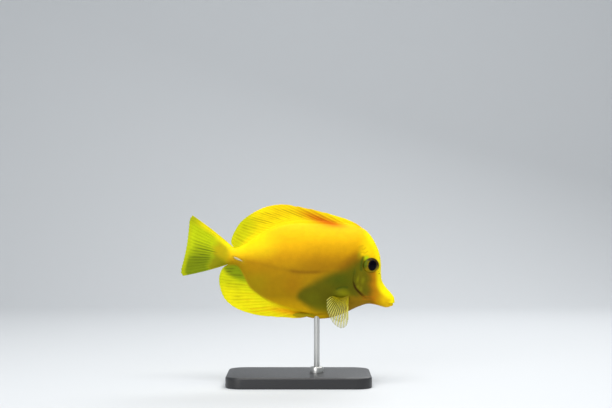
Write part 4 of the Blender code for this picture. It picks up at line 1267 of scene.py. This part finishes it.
def add_eyes(bare):
    """An iris in each socket, with the pupil as a low lens on it."""
    iris = painted("iris_look", 0.35, scale=900.0, mottle=0.16, specular=0.08)
    dark = blank("pupil_look", 0.12, PUPIL_BLACK, specular=0.06)
    x, z = EYE_AT
    deep = bare([EYE_AT])[0] + EYE_PROUD - EYE_DEPTH
    ahead = EYE_DEPTH - PUPIL_THICK * PUPIL_SUNK
    lens_x, lens_z = x + ahead * math.sin(EYE_LOOK), z + PUPIL_RAISE
    lens_y = deep + ahead * math.cos(EYE_LOOK)
    iris_radii = (EYE_RADIUS, EYE_DEPTH, EYE_RADIUS)
    lens_radii = (PUPIL_RADII[0], PUPIL_THICK, PUPIL_RADII[1])
    for side, word in SIDES:
        centre = (x, side * deep, z)
        points, faces = ball(centre, iris_radii, segments=72, rings=40)
        paint = eye_paint(points, centre)
        add_piece("eyeball_" + word, points, faces, iris, ["eye_" + word], paint)
        points, faces = ball((lens_x, side * lens_y, lens_z), lens_radii, segments=56, rings=24)
        add_piece("pupil_lens_" + word, points, faces, dark, ["pupil_" + word])


def add_scalpels(bare):
    """The white blade in its groove on each side of the tail's stem."""
    look = painted("blade_look", 0.3, scale=900.0, mottle=0.06, bump=0.1)
    root, tip = np.array(SCALPEL_ROOT), np.array(SCALPEL_TIP)
    axis = unit(tip - root)
    shares = np.linspace(0, 1, BLADE_ROWS)
    turn = np.linspace(0, 2 * math.pi, BLADE_SIDES, endpoint=False)
    swell = np.sin(math.pi * shares**0.7)[:, None] ** 0.8
    middle = root + (tip - root) * shares[:, None]
    across = swell * SCALPEL_HIGH / 2 * np.cos(turn)
    out = bare(middle)[:, None] + SCALPEL_THICK / 2 - SCALPEL_SUNK
    share = np.repeat(shares, BLADE_SIDES)
    paint = coats(
        plain(BLADE_WHITE, len(share)),
        (GROOVE_TAN, 0.8 * rise(share, 0.35, 0.0)),
        (STEM_YELLOW, 0.4 * rise(share, 0.75, 1.0)),
    )
    faces = tube_faces(BLADE_ROWS, BLADE_SIDES, closed=False)
    for side, word in SIDES:
        x, z = middle[:, :1] - axis[1] * across, middle[:, 1:] + axis[0] * across
        y = side * out + swell * SCALPEL_THICK / 2 * np.sin(turn)
        points = np.stack([x, y, z], -1).reshape(-1, 3)
        add_piece("blade_" + word, points, faces, look, ["scalpel_" + word], paint)


def add_stand_piece(name, rings, look, node):
    """A closed piece of the stand, through rings of points in the row's frame in millimetres."""
    faces = tube_faces(len(rings), len(rings[0]))
    piece = add_mesh(name, np.vstack(rings) * MM, faces, look)
    piece.data.set_sharp_from_angle(angle=SHARP)
    belongs(piece, [node])


def circles(profile, centre, segments=72):
    """Level rings about a vertical line, from (radius, height) points."""
    turn = [2 * math.pi * k / segments for k in range(segments)]
    return [
        [(centre[0] + r * math.cos(a), centre[1] + r * math.sin(a), h) for a in turn]
        for r, h in profile
    ]


def base_rings():
    """The base's outline with round corners, drawn in towards its foot and its top edge."""
    outline = []
    for cx, cy, start in ((1, 1, 0), (-1, 1, 90), (-1, -1, 180), (1, -1, 270)):
        for k in range(CORNER_STEPS + 1):
            a = math.radians(start + 90 * k / CORNER_STEPS)
            x = cx * (BASE_LENGTH / 2 - BASE_CORNER) + BASE_CORNER * math.cos(a)
            y = cy * (BASE_WIDTH / 2 - BASE_CORNER) + BASE_CORNER * math.sin(a)
            outline.append((x, y))
    edge = [(FOOT_INSET, 0.0), (0.0, FOOT_INSET)]
    for a in np.linspace(0, math.pi / 2, EDGE_STEPS + 1):
        edge.append((EDGE_ROUND * (1 - math.cos(a)), BASE_HIGH - EDGE_ROUND * (1 - math.sin(a))))
    middle = middle_of("stand_base")
    rings = []
    for inset, h in edge:
        wide, deep = 1 - 2 * inset / BASE_LENGTH, 1 - 2 * inset / BASE_WIDTH
        rings.append([(middle[0] + x * wide, middle[1] + y * deep, h) for x, y in outline])
    return rings


def add_stand():
    """Base with softly rounded edges, collar and rod."""
    black = blank("base_look", 0.38, BASE_BLACK)
    roughen(black, 0.32, 0.46, scale=900.0, detail=3.0)
    steel = blank("rod_look", 0.3, ROD_STEEL, metallic=1.0)
    roughen(steel, 0.22, 0.42, scale=400.0, detail=2.0, stretch=(1, 1, 40))
    add_stand_piece("base", base_rings(), black, "stand_base")
    at = middle_of("stand_rod")
    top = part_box("stand_rod")[1].z / MM + ROD_IN_BODY
    rod = circles(((ROD_RADIUS, BASE_HIGH), (ROD_RADIUS, top)), at)
    add_stand_piece("rod", rod, steel, "stand_rod")
    add_stand_piece("collar", circles(COLLAR, at), steel, "stand_collar")


def add_stage():
    """A pale floor that curves up into a backdrop."""
    profile = [(FLOOR_FRONT, 0.0)]
    for a in np.linspace(0, math.pi / 2, BACKDROP_STEPS + 1):
        y = BACKDROP_FROM + BACKDROP_ROUND * math.sin(a)
        profile.append((y, BACKDROP_ROUND * (1 - math.cos(a))))
    profile.append((BACKDROP_FROM + BACKDROP_ROUND, BACKDROP_HIGH))
    points = [(x, y, z) for y, z in profile for x in (-FLOOR_HALF, FLOOR_HALF)]
    faces = [(k, k + 1, k + 3, k + 2) for k in range(0, len(points) - 2, 2)]
    add_mesh("floor", points, faces, blank("floor_look", 0.75, FLOOR_GREY))


def add_light(name, at, size, watts, colour):
    """A rectangular soft light that looks at the fish."""
    light = bpy.data.lights.new(name, "AREA")
    light.shape = "RECTANGLE"
    light.size, light.size_y = size
    light.energy = watts
    light.color = colour
    made = put(name, light)
    made.location = at
    made.rotation_euler = (Vector(at) - Vector(LIGHT_TARGET)).to_track_quat("Z", "Y").to_euler()


def add_sky():
    """Pale blue light from all round."""
    world = bpy.data.worlds.new("studio")
    world.use_nodes = True
    sky = world.node_tree.nodes["Background"]
    sky.inputs["Color"].default_value = (*SKY_BLUE, 1)
    sky.inputs["Strength"].default_value = SKY_STRENGTH
    bpy.context.scene.world = world


def add_camera():
    """A level camera square to the fish's right side."""
    camera = bpy.data.cameras.new("camera")
    camera.lens = CAMERA_LENS
    camera.sensor_width = 36.0
    made = put("camera", camera)
    made.location = CAMERA_AT
    made.rotation_euler = (math.pi / 2, 0, 0)
    bpy.context.scene.camera = made


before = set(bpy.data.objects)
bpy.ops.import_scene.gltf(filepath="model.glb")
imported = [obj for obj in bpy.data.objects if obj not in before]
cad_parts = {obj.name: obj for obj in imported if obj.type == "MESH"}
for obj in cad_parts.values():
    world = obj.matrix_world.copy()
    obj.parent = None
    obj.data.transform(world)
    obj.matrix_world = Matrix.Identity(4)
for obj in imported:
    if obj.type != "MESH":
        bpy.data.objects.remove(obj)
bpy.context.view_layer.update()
bare, flank = add_skin()
fin_look = painted("fin_look", 0.5, scale=1100.0, mottle=0.05, bump=0.15, specular=0.08)
web_look = painted("web_look", 0.4, scale=900.0, mottle=0.03, alpha=0.17)
ray_look = painted("ray_look", 0.45, scale=900.0, mottle=0.04, specular=0.2)
dorsal = (BACK_LINE, DORSAL_ROOT, DORSAL_EDGE, DORSAL_REACH, 0.5)
add_median_fin("dorsal_fin", dorsal, DORSAL_SPINES, DORSAL_RAYS, dorsal_paint, fin_look)
anal = (BELLY_LINE, ANAL_ROOT, ANAL_EDGE, ANAL_REACH, -0.5)
add_median_fin("anal_fin", anal, ANAL_SPINES, ANAL_RAYS, anal_paint, fin_look)
add_tail_fin(fin_look)
for side, word in SIDES:
    add_pectoral(flank, side, word, web_look, ray_look)
    add_pelvic(flank, side, word, fin_look)
add_eyes(bare)
add_scalpels(bare)
add_stand()
add_stage()
for light in LIGHTS:
    add_light(*light)
add_sky()
add_camera()
bpy.context.scene.view_settings.view_transform = "Standard"
